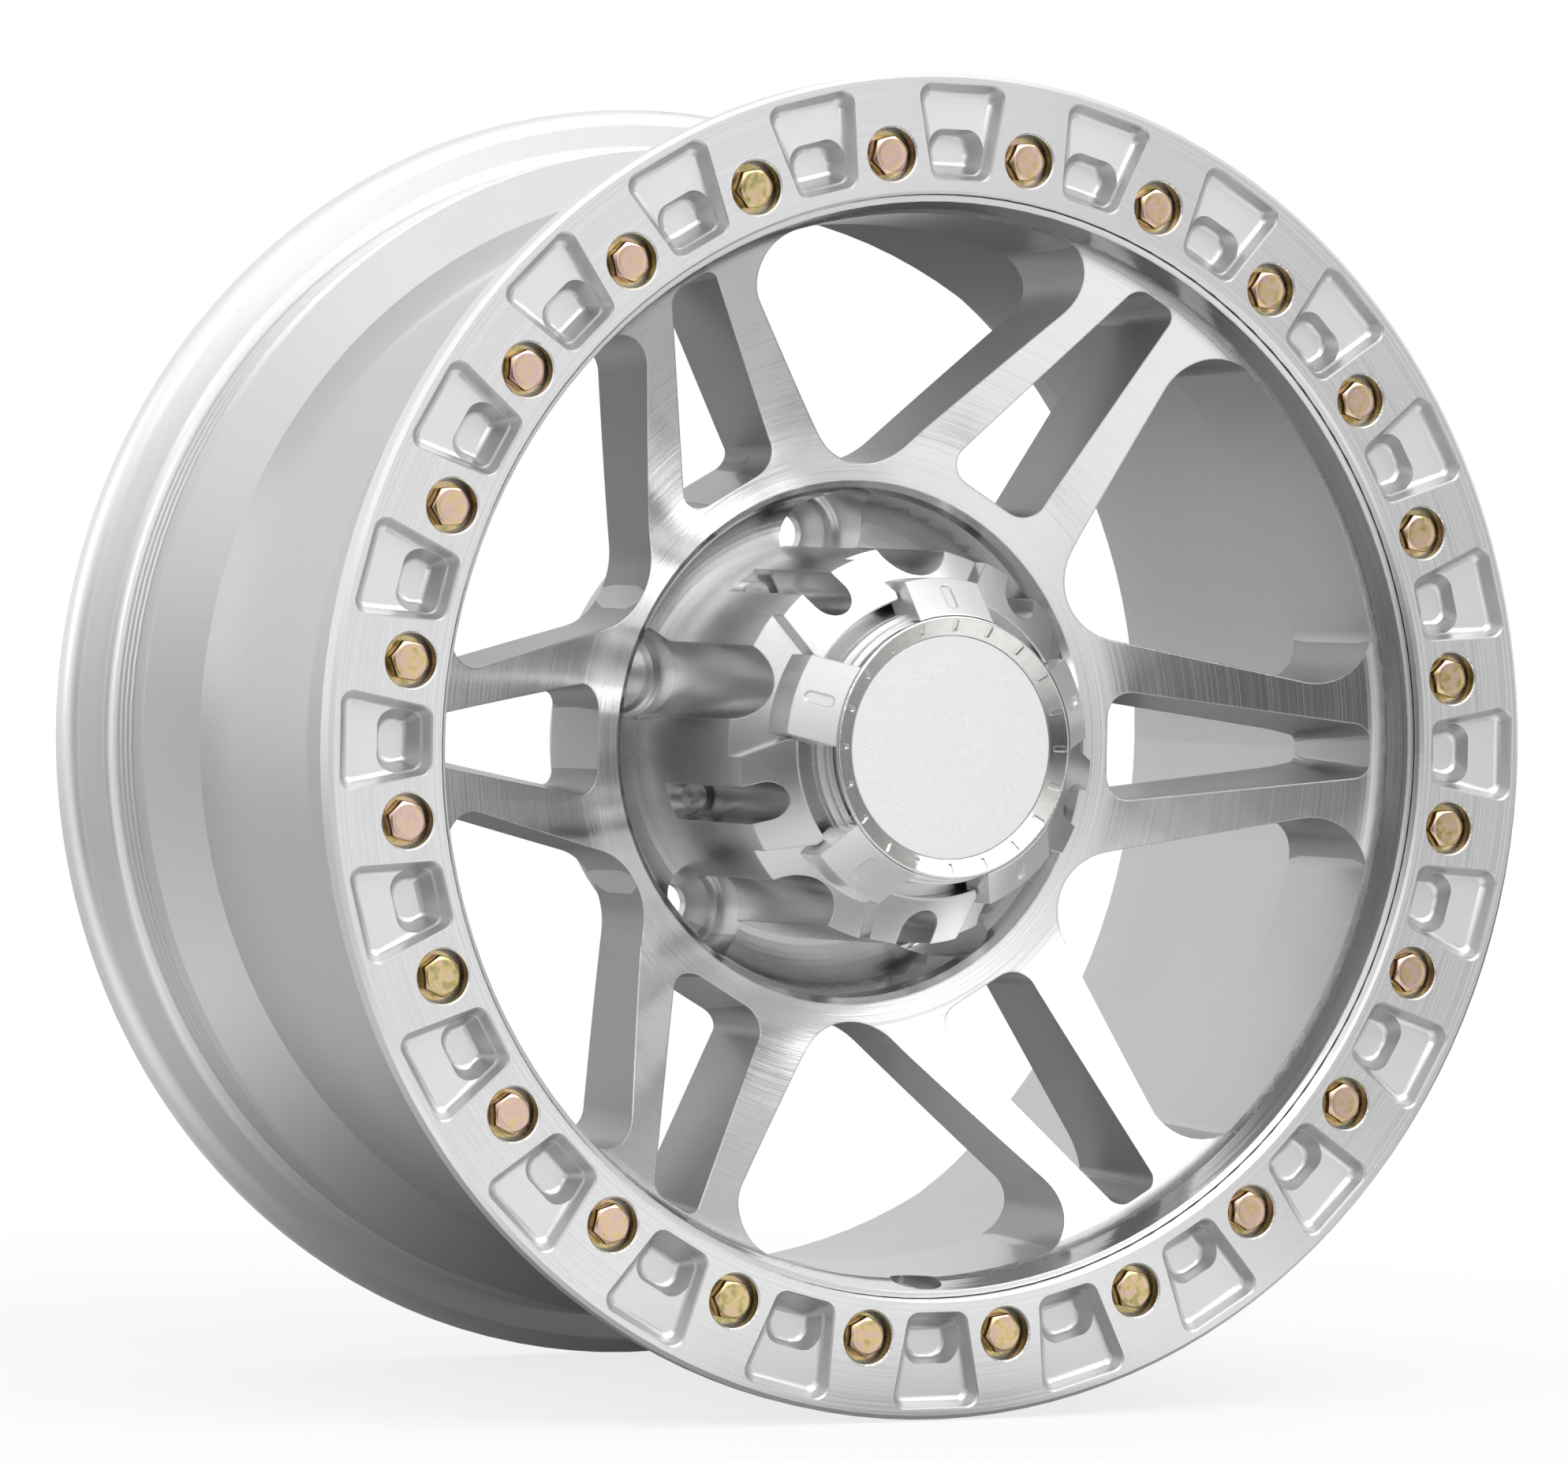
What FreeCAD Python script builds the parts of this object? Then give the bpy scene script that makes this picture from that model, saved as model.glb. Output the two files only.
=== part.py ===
"""Off-road car wheel: a cast six-spoke wheel, a bolted outer ring and a tall fluted centre cap.

Millimetres. The wheel's axis is Y, its outer face looks along -Y and one spoke lies on +X.
Every depth is counted from the outer ring's front face towards the car, and the finished
pieces are moved so that the origin is the centre of the hub pad.
"""
import FreeCAD, Part
import math
import os

from FreeCAD import Vector

# Rim, as the wheel's nominal size gives it
BEAD_SEAT_R = 218.3
RIM_WIDTH = 228.6
FLANGE_HEIGHT = 17.7
FLANGE_WIDTH = 13.2
FLANGE_LIP = 4.0
OFFSET = 10.0
HUMP_HEIGHT = 0.9
DROP_WELL_DEPTH = 15.3
BARREL_WALL = 6.0
OUTER_SEAT_LENGTH = 29.6
OUTER_SEAT_DROP = 1.3
OUTER_FLARE = 52.0
INNER_FLARE = 15.0
INNER_SEAT_LENGTH = 33.0

# Outer ring
RING_THICK = 13.4
RING_INSET = 0.4
RING_WIDTH = 42.1
RING_EDGE = 9.5
RING_CHAMFER = 1.5
RING_BORE_CHAMFER = 1.0
RING_EDGE_BREAK = 0.6

# Ring bolts, their washers and the wells that they sit in
BOLT_COUNT = 24
BOLT_INSET = 27.7
BOLT_R = 4.0
BOLT_LENGTH = 30.0
HEAD_ACROSS = 12.7
HEAD_HEIGHT = 5.3
HEAD_SET_BACK = 0.7
HEAD_CHAMFER = 0.6
HEAD_CHAMFER_ANGLE = 30.0
HEAD_CLOCKINGS = (37, 30, 5, 4, 23, 41, 40, 18, 37, 4, 26, 58, 37, 13, 55, 25, 44, 4, 32, 57, 23, 6, 42, 14)
WASHER_R = 8.4
WASHER_THICK = 1.6
WELL_CLEAR = 1.0
BOLT_CLEAR = 0.25
THREAD_CLEAR = 0.05
TAP_RUN_OUT = 3.0

# Pockets in the ring between the bolts
POCKET_OUTER_LAND = 4.1
POCKET_INNER_LAND = 4.5
POCKET_OUTER_HALF = 17.6
POCKET_INNER_HALF = 11.2
POCKET_CORNER = 4.5
POCKET_DEPTH = 4.8
POCKET_LEAN = 28.0
POCKET_FILLET = 2.5
PIT_DEPTH = 10.5
PIT_INSET = 0.3
PIT_LENGTH = 18.3
PIT_LEAN = 16.0
PIT_CORNER = 6.0
PIT_FILLET = 2.0

# Lip that centres the ring, and the spoke face that runs into it
LIP_CLEAR = 0.3
LIP_SET_BACK = 5.0
LIP_WALL = 2.2
LIP_LENGTH = 16.0
LIP_TAPER = 3.2
LIP_FILLET = 12.0
FACE_BEND = 40.0
SPOKE_ROOT_THICK = 34.0
SPOKE_TIP_THICK = 39.6
BACK_FILLET = 20.0

# Hub
HUB_BORE_R = 55.0
HUB_ROOM = 20.0
HUB_RIM_DEPTH = 75.0
HUB_RIM_CHAMFER = 2.4
HUB_FACE_WIDTH = 19.0
HUB_FACE_DROP = 4.0
PAD_R = 90.0
PAD_THICK = 34.2
BOWL_CLEAR = 2.6
BOWL_FILLET = 16.0
BOWL_DRAFT_RUN = 6.2
BOWL_RISE = 3.5
BOWL_TOP_RUN = 1.7
BOWL_TOP_DEPTH = 3.0

# Lug holes
LUG_COUNT = 5
LUG_CIRCLE_R = 75.0
LUG_FIRST_ANGLE = 18.0
LUG_BORE_R = 7.75
LUG_SEAT_R = 13.0
LUG_SEAT_ANGLE = 30.0
LUG_CHAMFER = 2.0
LUG_WELL_R = 16.5
LUG_FLOOR = 15.5

# Spokes, windows and slots
SPOKE_COUNT = 6
WINDOW_APEX_REACH = 4.7
WINDOW_HALF_ANGLE = 41.45
WINDOW_APEX_ROUND = 24.0
WINDOW_OUTER_LAND = 6.7
WINDOW_CORNER = 14.5
WINDOW_DRAFT = 2.0
SLOT_START_LAND = 11.3
SLOT_END_LAND = 8.0
SLOT_START_HALF = 20.5
SLOT_END_HALF = 9.2
SLOT_START_ROUND = 9.0
SLOT_END_ROUND = 5.0
SLOT_BACK_ROUND = 2.0
SLOT_DRAFT = 6.0

# Valve hole through the lip
VALVE_ANGLE = 270.0
VALVE_DEPTH = 19.0
VALVE_TILT = 35.0
VALVE_R = 5.65
VALVE_FACE_R = 9.0
VALVE_FACE_RUN = 12.0

# Cap body
CAP_FRONT_DEPTH = 12.0
CAP_BASE_R = 71.7
CAP_TAPER = 1.5
CAP_CONE_RUN = 16.2
CAP_CONE_DROP = 12.3
CAP_STEP = 8.0
CAP_STEP_INNER_HALF = 15.2
CAP_STEP_OUTER_HALF = 31.0
CAP_MOUTH_WALL = 0.8
CAP_SHOULDER_DEPTH = 24.0
CAP_LEDGE = 7.2
BIG_FLUTE_R = 14.8
SMALL_FLUTE_R = 6.75
SMALL_FLUTE_FLOOR = 20.4

# Cap screws
SCREW_INSET = 7.3
SCREW_R = 3.0
SCREW_LENGTH = 34.0
SCREW_HEAD_R = 5.0
SCREW_HEAD_HEIGHT = 6.0
SCREW_SOCKET_ACROSS = 5.0
SCREW_SOCKET_DEPTH = 3.0
SCREW_CLEAR = 0.3

# Lid, its seal, the trim ring and the plain disc
LID_SEAT_DEPTH = 2.0
LID_ROOM = 4.8
LID_GROOVE = 1.2
LID_GROOVE_WIDTH = 2.0
LID_PLUG_LENGTH = 11.0
LID_PLUG_CLEAR = 0.5
LID_BACK_WALL = 5.0
TAB_HALF = 14.5
TAB_REACH = 11.0
TAB_FRONT_DEPTH = -3.9
TAB_DROP = 12.7
TAB_CLEAR = 0.3
TAB_PILL_LENGTH = 11.0
TAB_PILL_WIDTH = 4.0
PILL_DEPTH = 0.8
SEAL_HEIGHT = 3.0
SEAL_DEPTH = 2.4
SEAL_CLEAR = 0.05
TRIM_INSET = 2.3
TRIM_WIDTH = 6.8
TRIM_FRONT_DEPTH = -4.5
TRIM_DISH = 3.2
TRIM_ROUND = 0.8
TRIM_NOTCHES = 20
TRIM_NOTCH_LENGTH = 4.8
TRIM_NOTCH_WIDTH = 1.8
TRIM_CLEAR = 0.2
DISC_SET_BACK = 0.2
DISC_CROWN = 0.6

# Sizes that follow from the ones above
LAND_DEPTH = RING_THICK
FLANGE_FACE = LAND_DEPTH + RIM_WIDTH
RIM_DEPTH = FLANGE_FACE + FLANGE_WIDTH
PAD_DEPTH = LAND_DEPTH + RIM_WIDTH / 2 + OFFSET
FLOOR_DEPTH = PAD_DEPTH - PAD_THICK
FLANGE_R = BEAD_SEAT_R + FLANGE_HEIGHT
RING_R = FLANGE_R - RING_INSET
RING_BORE_R = RING_R - RING_WIDTH
BOLT_CIRCLE_R = RING_R - BOLT_INSET
DROP_R = BEAD_SEAT_R - DROP_WELL_DEPTH
BARREL_R = DROP_R - BARREL_WALL
LIP_R = RING_BORE_R - LIP_CLEAR
LIP_ROOT_R = LIP_R - LIP_WALL - LIP_TAPER
LIP_ROOT_DEPTH = LIP_SET_BACK + LIP_LENGTH
CAP_CORNER_R = CAP_BASE_R - CAP_TAPER
CAP_FRONT_R = CAP_CORNER_R - CAP_CONE_RUN
CAP_MOUTH_R = CAP_FRONT_R - CAP_MOUTH_WALL
CAP_BORE_R = CAP_MOUTH_R - CAP_LEDGE
SCREW_CIRCLE_R = CAP_BASE_R - SCREW_INSET
LID_R = CAP_MOUTH_R - LID_ROOM
TAB_R = LID_R + TAB_REACH
TRIM_R = LID_R - TRIM_INSET
TRIM_BORE_R = TRIM_R - TRIM_WIDTH
HUB_RIM_R = CAP_BASE_R + HUB_ROOM
WINDOW_APEX_R = HUB_RIM_R - WINDOW_APEX_REACH
WINDOW_OUTER_R = LIP_R - WINDOW_OUTER_LAND
SLOT_START = HUB_RIM_R + SLOT_START_LAND
SLOT_END = LIP_R - SLOT_END_LAND
WELL_R = WASHER_R + WELL_CLEAR
WELL_DEPTH = HEAD_SET_BACK + HEAD_HEIGHT + WASHER_THICK
HEAD_SEAT = HEAD_SET_BACK + HEAD_HEIGHT
SPOKE_ANGLES = [360.0 / SPOKE_COUNT * k for k in range(SPOKE_COUNT)]
WINDOW_ANGLES = [a + 180.0 / SPOKE_COUNT for a in SPOKE_ANGLES]
BOLT_ANGLES = [360.0 / BOLT_COUNT * (k + 0.5) for k in range(BOLT_COUNT)]
POCKET_ANGLES = [360.0 / BOLT_COUNT * k for k in range(BOLT_COUNT)]
LUG_ANGLES = [LUG_FIRST_ANGLE + 360.0 / LUG_COUNT * k for k in range(LUG_COUNT)]
SCREW_ANGLES = [a + 180.0 / LUG_COUNT for a in LUG_ANGLES]
FACE_BEND_R = HUB_RIM_R + HUB_FACE_WIDTH
FACE_BEND_DEPTH = HUB_RIM_DEPTH - HUB_RIM_CHAMFER - HUB_FACE_DROP
FACE_SLOPE = (FACE_BEND_DEPTH - LIP_ROOT_DEPTH) / (LIP_ROOT_R - FACE_BEND_R)
CAP_CONE_SLOPE = CAP_CONE_DROP / CAP_CONE_RUN
SCREW_SEAT = FLOOR_DEPTH - SMALL_FLUTE_FLOOR
AXIS = Vector(0, 1, 0)
CENTRE = Vector(0, 0, 0)


def face_depth(r):
    """Depth of the spokes' cone at radius r."""
    return FACE_BEND_DEPTH - FACE_SLOPE * (r - FACE_BEND_R)


def cap_depth(r):
    """Depth of the cap's front cone at radius r."""
    return CAP_FRONT_DEPTH + CAP_CONE_SLOPE * (r - CAP_FRONT_R)


def rounded_wire(corners, to_space):
    """Closed wire through plane corners (u, v, radius), with an arc at each that has a radius."""
    ends = []
    count = len(corners)
    for i, (u, v, radius) in enumerate(corners):
        here = Vector(u, v, 0)
        back = (Vector(*corners[i - 1][:2], 0) - here).normalize()
        ahead = (Vector(*corners[(i + 1) % count][:2], 0) - here).normalize()
        if radius == 0:
            ends.append((here, None, here))
            continue
        half = back.getAngle(ahead) / 2
        middle = (back + ahead).normalize()
        run = radius / math.tan(half)
        top = here + middle * (radius / math.sin(half) - radius)
        ends.append((here + back * run, top, here + ahead * run))
    edges = []
    for i, (start, top, end) in enumerate(ends):
        before = ends[i - 1][2]
        if (start - before).Length > 1e-6:
            edges.append(Part.LineSegment(to_space(before), to_space(start)).toShape())
        if top is not None:
            edges.append(Part.Arc(to_space(start), to_space(top), to_space(end)).toShape())
    return Part.Wire(Part.__sortEdges__(edges))


def revolved(corners):
    """Solid of revolution about the wheel's axis from (radius, depth, corner round) points."""
    wire = rounded_wire(corners, lambda p: Vector(p.x, p.y, 0))
    return Part.Face(wire).revolve(CENTRE, AXIS, 360)


def plan_wire(corners, depth):
    """Outline of (x, z, corner round) points on the plane at one depth."""
    return rounded_wire(corners, lambda p: Vector(p.x, depth, p.y))


def prism(corners, front, back):
    """Straight prism of an outline from one depth to another."""
    return Part.Face(plan_wire(corners, front)).extrude(Vector(0, back - front, 0))


def cylinder(r, front, back, x=0.0):
    """Cylinder along the wheel's axis, x out from the centre."""
    return Part.makeCylinder(r, back - front, Vector(x, front, 0), AXIS)


def cone(front_r, back_r, front, back, x=0.0):
    """Cone along the wheel's axis, x out from the centre."""
    return Part.makeCone(front_r, back_r, back - front, Vector(x, front, 0), AXIS)


def turned(shape, angle):
    """Copy of a shape turned about the wheel's axis, from +X towards +Z."""
    copy = shape.copy()
    copy.rotate(CENTRE, -AXIS, angle)
    return copy


def around(shape, angles):
    """Compound of one shape at each of the angles."""
    return Part.makeCompound([turned(shape, a) for a in angles])


def pill(length, width, front, back, x, tilt):
    """Pill-shaped cutter, lying along the radius at x and leaning with a cone's face."""
    half = length / 2
    r = width / 2
    corners = [(-half, -r, r * 0.999), (half, -r, r * 0.999), (half, r, r * 0.999), (-half, r, r * 0.999)]
    shape = prism(corners, front, back)
    shape.rotate(CENTRE, Vector(0, 0, 1), tilt)
    return shape.translated(Vector(x, 0, 0))


def hexagon(across):
    """Corners of a hexagon, given its width across flats."""
    r = across / math.sqrt(3)
    return [(r * math.cos(math.radians(60 * k)), r * math.sin(math.radians(60 * k)), 0) for k in range(6)]


def casting_profile():
    """Section through rim, spoke and hub, as if the spokes filled the whole circle."""
    seat_end = LAND_DEPTH + OUTER_SEAT_LENGTH
    rear_drop = FLANGE_FACE - INNER_SEAT_LENGTH - INNER_FLARE
    hump = FLANGE_FACE - INNER_SEAT_LENGTH
    tip_back = LIP_ROOT_DEPTH + SPOKE_TIP_THICK
    root_back = HUB_RIM_DEPTH + SPOKE_ROOT_THICK
    return [
        (HUB_BORE_R, FLOOR_DEPTH, 0),
        (CAP_BASE_R + BOWL_CLEAR, FLOOR_DEPTH, 0),
        (HUB_RIM_R - BOWL_DRAFT_RUN, FLOOR_DEPTH - BOWL_RISE, BOWL_FILLET),
        (HUB_RIM_R - BOWL_TOP_RUN, HUB_RIM_DEPTH + BOWL_TOP_DEPTH, 0),
        (HUB_RIM_R, HUB_RIM_DEPTH, 0),
        (HUB_RIM_R + HUB_RIM_CHAMFER, HUB_RIM_DEPTH - HUB_RIM_CHAMFER, 0),
        (FACE_BEND_R, FACE_BEND_DEPTH, FACE_BEND),
        (LIP_ROOT_R, LIP_ROOT_DEPTH, LIP_FILLET),
        (LIP_R - LIP_WALL, LIP_SET_BACK, 0),
        (LIP_R, LIP_SET_BACK, 0),
        (LIP_R, LAND_DEPTH, 0),
        (BEAD_SEAT_R, LAND_DEPTH, 0),
        (BEAD_SEAT_R - OUTER_SEAT_DROP, seat_end, 0),
        (DROP_R, seat_end + OUTER_FLARE, BACK_FILLET),
        (DROP_R, rear_drop, 0),
        (BEAD_SEAT_R + HUMP_HEIGHT, hump - HUMP_HEIGHT, 0),
        (BEAD_SEAT_R + HUMP_HEIGHT, hump + HUMP_HEIGHT, 0),
        (BEAD_SEAT_R - OUTER_SEAT_DROP, hump + 4 * HUMP_HEIGHT, 0),
        (BEAD_SEAT_R, FLANGE_FACE, FLANGE_LIP),
        (FLANGE_R, FLANGE_FACE + HUMP_HEIGHT, FLANGE_WIDTH / 2),
        (FLANGE_R, RIM_DEPTH, FLANGE_LIP),
        (BEAD_SEAT_R + HUMP_HEIGHT, RIM_DEPTH, 0),
        (BEAD_SEAT_R + HUMP_HEIGHT, RIM_DEPTH - FLANGE_LIP, 0),
        (BEAD_SEAT_R - BARREL_WALL, FLANGE_FACE - FLANGE_LIP, 0),
        (BEAD_SEAT_R - BARREL_WALL, hump + FLANGE_WIDTH, 0),
        (BARREL_R, rear_drop, 0),
        (BARREL_R, tip_back + OUTER_FLARE / 2, BACK_FILLET),
        (LIP_ROOT_R, tip_back, BACK_FILLET),
        (PAD_R + HUB_RIM_CHAMFER, root_back, 0),
        (PAD_R, PAD_DEPTH, 0),
        (HUB_BORE_R, PAD_DEPTH, 0),
    ]


def window_outline(grow):
    """Rounded triangle between two spokes, grown all round; its outer side follows the rim."""
    half = math.radians(WINDOW_HALF_ANGLE)
    apex = WINDOW_APEX_R - grow / math.sin(half)
    outer = WINDOW_OUTER_R + grow
    corner = WINDOW_CORNER + grow
    side = Vector(math.cos(half), math.sin(half), 0)
    inward = Vector(math.sin(half), -math.cos(half), 0)
    start = Vector(apex, 0, 0) + inward * corner
    along = start.dot(side)
    reach = -along + math.sqrt(along ** 2 - start.dot(start) + (outer - corner) ** 2)
    centre = start + side * reach
    bottom = centre - inward * corner
    rim = Vector(centre).normalize() * outer
    turn = (Vector(-inward) + Vector(centre).normalize()).normalize() * corner + centre
    apex_round = WINDOW_APEX_ROUND + grow
    apex_point = apex + apex_round * (1 / math.sin(half) - 1)
    apex_end = Vector(apex, 0, 0) + side * (apex_round / math.tan(half))
    return apex_point, apex_end, bottom, turn, rim, outer


def window_wire(grow, depth):
    """Closed outline of one window on the plane at a depth."""
    apex_point, apex_end, bottom, turn, rim, outer = window_outline(grow)

    def up(p):
        return Vector(p.x, depth, p.y)

    def down(p):
        return Vector(p.x, depth, -p.y)

    return Part.Wire([
        Part.Arc(down(apex_end), Vector(apex_point, depth, 0), up(apex_end)).toShape(),
        Part.LineSegment(up(apex_end), up(bottom)).toShape(),
        Part.Arc(up(bottom), up(turn), up(rim)).toShape(),
        Part.Arc(up(rim), Vector(outer, depth, 0), down(rim)).toShape(),
        Part.Arc(down(rim), down(turn), down(bottom)).toShape(),
        Part.LineSegment(down(bottom), down(apex_end)).toShape(),
    ])


def window_cutter():
    """Drafted cutter for one window, widest at the front."""
    middle = (HUB_RIM_DEPTH + LIP_ROOT_DEPTH) / 2
    draft = math.tan(math.radians(WINDOW_DRAFT))
    front = window_wire(middle * draft, 0)
    back = window_wire((middle - PAD_DEPTH) * draft, PAD_DEPTH)
    return Part.makeLoft([front, back], True, True)


def slot_cutter():
    """Drafted cutter for the slot in one spoke, on planes that lean with the spoke's face."""
    lean = math.atan(FACE_SLOPE)
    stretch = 1 / math.cos(lean)
    draft = math.tan(math.radians(SLOT_DRAFT))

    def wire(offset):
        grow = -offset * draft
        start = SLOT_START * stretch - grow
        end = SLOT_END * stretch + grow
        start_round = max(SLOT_START_ROUND + grow, SLOT_BACK_ROUND)
        end_round = max(SLOT_END_ROUND + grow, SLOT_BACK_ROUND)
        start_half = SLOT_START_HALF + grow
        end_half = SLOT_END_HALF + grow
        corners = [(start, -start_half, start_round), (end, -end_half, end_round),
                   (end, end_half, end_round), (start, start_half, start_round)]

        def to_space(p):
            x = p.x / stretch
            return Vector(x, face_depth(x) + offset, p.y)

        return rounded_wire(corners, to_space)

    return Part.makeLoft([wire(-LIP_LENGTH), wire(SPOKE_TIP_THICK + LIP_FILLET)], True, True)


def lug_cutter():
    """Well, cone seat and through hole for one wheel stud and its nut."""
    floor = PAD_DEPTH - LUG_FLOOR
    seat = floor + LUG_CHAMFER
    cone_run = (LUG_SEAT_R - LUG_BORE_R) / math.tan(math.radians(LUG_SEAT_ANGLE))
    well = cylinder(LUG_WELL_R, 0, floor, LUG_CIRCLE_R)
    chamfer = cone(LUG_SEAT_R + LUG_CHAMFER, LUG_SEAT_R, floor, seat, LUG_CIRCLE_R)
    taper = cone(LUG_SEAT_R, LUG_BORE_R, seat, seat + cone_run, LUG_CIRCLE_R)
    hole = cylinder(LUG_BORE_R, seat, PAD_DEPTH + 1, LUG_CIRCLE_R)
    return well.fuse([chamfer, taper, hole])


def valve_cutter():
    """Valve hole, leaning back from the lip's inside to the barrel's outside, with a flat face."""
    lean = math.radians(VALVE_TILT)
    direction = Vector(math.cos(lean), math.sin(lean), 0)
    mouth = Vector(LIP_R - LIP_WALL, VALVE_DEPTH, 0)
    face = mouth + direction * VALVE_FACE_RUN / 2
    run = VALVE_FACE_RUN * 2
    spot = Part.makeCylinder(VALVE_FACE_R, run, face - direction * run, direction)
    hole = Part.makeCylinder(VALVE_R, OUTER_FLARE, face, direction)
    return turned(spot.fuse(hole), VALVE_ANGLE)


def wheel_casting():
    """Rim, spokes and hub, cast as one piece and machined on the face."""
    body = revolved(casting_profile())
    tap_depth = HEAD_SEAT + BOLT_LENGTH + TAP_RUN_OUT
    ring_tap = cylinder(BOLT_R + THREAD_CLEAR, LAND_DEPTH - 1, tap_depth, BOLT_CIRCLE_R)
    screw_end = SCREW_SEAT + SCREW_LENGTH + TAP_RUN_OUT / 2
    cap_tap = cylinder(SCREW_R + THREAD_CLEAR, FLOOR_DEPTH - 1, screw_end, SCREW_CIRCLE_R)
    body = body.cut(around(window_cutter(), WINDOW_ANGLES))
    body = body.cut(around(slot_cutter(), SPOKE_ANGLES))
    body = body.cut(around(lug_cutter(), LUG_ANGLES))
    body = body.cut(around(ring_tap, BOLT_ANGLES))
    body = body.cut(around(cap_tap, SCREW_ANGLES))
    return body.cut(valve_cutter())


def floor_filleted(cutter, depth, radius):
    """A cutter with the edges of its end face rounded, so that what it cuts has a filleted floor."""
    edges = [e for e in cutter.Edges if e.BoundBox.YMin > depth - 1e-3]
    return cutter.makeFillet(radius, edges)


def pocket_cutter():
    """Leaning-walled pocket in the ring's face, with a deeper pit that fills its inner end."""
    inner = RING_BORE_R + POCKET_INNER_LAND
    outer = RING_R - POCKET_OUTER_LAND
    spread = (POCKET_OUTER_HALF - POCKET_INNER_HALF) / (outer - inner)
    lean = math.tan(math.radians(POCKET_LEAN))
    pit_lean = math.tan(math.radians(PIT_LEAN))

    def wire(depth, inset, end, end_corner):
        start = inner + inset
        half = POCKET_INNER_HALF - inset + spread * (start - inner)
        end_half = POCKET_INNER_HALF - inset + spread * (end - inner)
        corner = POCKET_CORNER - inset / 2
        return plan_wire([(start, -half, corner), (end, -end_half, end_corner),
                          (end, end_half, end_corner), (start, half, corner)], depth)

    def pocket_wire(depth, inset):
        return wire(depth, inset, outer - inset, POCKET_CORNER - inset / 2)

    def pit_wire(depth):
        end = inner + PIT_LENGTH - pit_lean * (depth - POCKET_DEPTH)
        return wire(depth, lean * depth + PIT_INSET, end, PIT_CORNER)

    brk = RING_EDGE_BREAK
    pocket = Part.makeLoft([pocket_wire(-brk, lean * brk - 2 * brk), pocket_wire(brk, lean * brk),
                            pocket_wire(POCKET_DEPTH, lean * POCKET_DEPTH)], True, True)
    pit = Part.makeLoft([pit_wire(0), pit_wire(PIT_DEPTH)], True, True)
    pocket = floor_filleted(pocket, POCKET_DEPTH, POCKET_FILLET)
    return pocket.fuse(floor_filleted(pit, PIT_DEPTH, PIT_FILLET))


def beadlock_ring():
    """Outer ring that clamps the tyre's bead, pocketed between its bolts."""
    step_r = BEAD_SEAT_R
    ring = revolved([
        (RING_BORE_R + RING_BORE_CHAMFER, 0, 0),
        (RING_R - RING_CHAMFER, 0, 0),
        (RING_R, RING_CHAMFER, 0),
        (RING_R, RING_EDGE - RING_CHAMFER, 0),
        (RING_R - RING_CHAMFER, RING_EDGE, 0),
        (step_r + RING_THICK - RING_EDGE, RING_EDGE, 0),
        (step_r, RING_THICK, 0),
        (RING_BORE_R, RING_THICK, 0),
        (RING_BORE_R, RING_BORE_CHAMFER, 0),
    ])
    brk = RING_EDGE_BREAK
    mouth = cone(WELL_R + 2 * brk, WELL_R, -brk, brk, BOLT_CIRCLE_R)
    well = cylinder(WELL_R, 0, WELL_DEPTH, BOLT_CIRCLE_R)
    hole = cylinder(BOLT_R + BOLT_CLEAR, 0, RING_THICK + 1, BOLT_CIRCLE_R)
    ring = ring.cut(around(well.fuse([mouth, hole]), BOLT_ANGLES))
    return ring.cut(around(pocket_cutter(), POCKET_ANGLES))


def ring_bolts():
    """Hexagon bolts with round-chamfered heads, each stopped at its own angle."""
    head = prism(hexagon(HEAD_ACROSS), HEAD_SET_BACK, HEAD_SEAT)
    crown_r = HEAD_ACROSS / 2 - HEAD_CHAMFER
    reach = HEAD_HEIGHT / math.tan(math.radians(HEAD_CHAMFER_ANGLE))
    head = head.common(cone(crown_r, crown_r + reach, HEAD_SET_BACK, HEAD_SEAT))
    tip = HEAD_SEAT + BOLT_LENGTH
    shank = cylinder(BOLT_R, HEAD_SEAT, tip - BOLT_R / 4)
    point = cone(BOLT_R, BOLT_R * 0.75, tip - BOLT_R / 4, tip)
    bolt = head.fuse([shank, point])
    bolts = []
    for k, angle in enumerate(BOLT_ANGLES):
        clocked = turned(bolt, HEAD_CLOCKINGS[k % len(HEAD_CLOCKINGS)])
        bolts.append(turned(clocked.translated(Vector(BOLT_CIRCLE_R, 0, 0)), angle))
    return Part.makeCompound(bolts)


def ring_washers():
    """Flat washers under the ring bolts' heads."""
    disc = cylinder(WASHER_R, HEAD_SEAT, WELL_DEPTH, BOLT_CIRCLE_R)
    hole = cylinder(BOLT_R + BOLT_CLEAR, HEAD_SEAT - 1, WELL_DEPTH + 1, BOLT_CIRCLE_R)
    return around(disc.cut(hole), BOLT_ANGLES)


def cap_step_cutter():
    """Flared step in the cap's cone where one tab of the lid lies."""
    inner = CAP_MOUTH_R - CAP_STEP
    outer = CAP_BASE_R + CAP_STEP
    slope = (CAP_STEP_OUTER_HALF - CAP_STEP_INNER_HALF) / CAP_CONE_RUN
    outer_half = CAP_STEP_OUTER_HALF + slope * (outer - CAP_CORNER_R)
    wedge = prism([(inner, -CAP_STEP_INNER_HALF, 0), (CAP_FRONT_R, -CAP_STEP_INNER_HALF, 0),
                   (outer, -outer_half, 0), (outer, outer_half, 0),
                   (CAP_FRONT_R, CAP_STEP_INNER_HALF, 0), (inner, CAP_STEP_INNER_HALF, 0)],
                  0, FLOOR_DEPTH)
    layer = revolved([(inner, 0, 0), (outer + CAP_STEP, 0, 0),
                      (outer + CAP_STEP, cap_depth(outer + CAP_STEP) + CAP_STEP, 0),
                      (inner, cap_depth(inner) + CAP_STEP, 0)])
    return wedge.common(layer)


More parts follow.
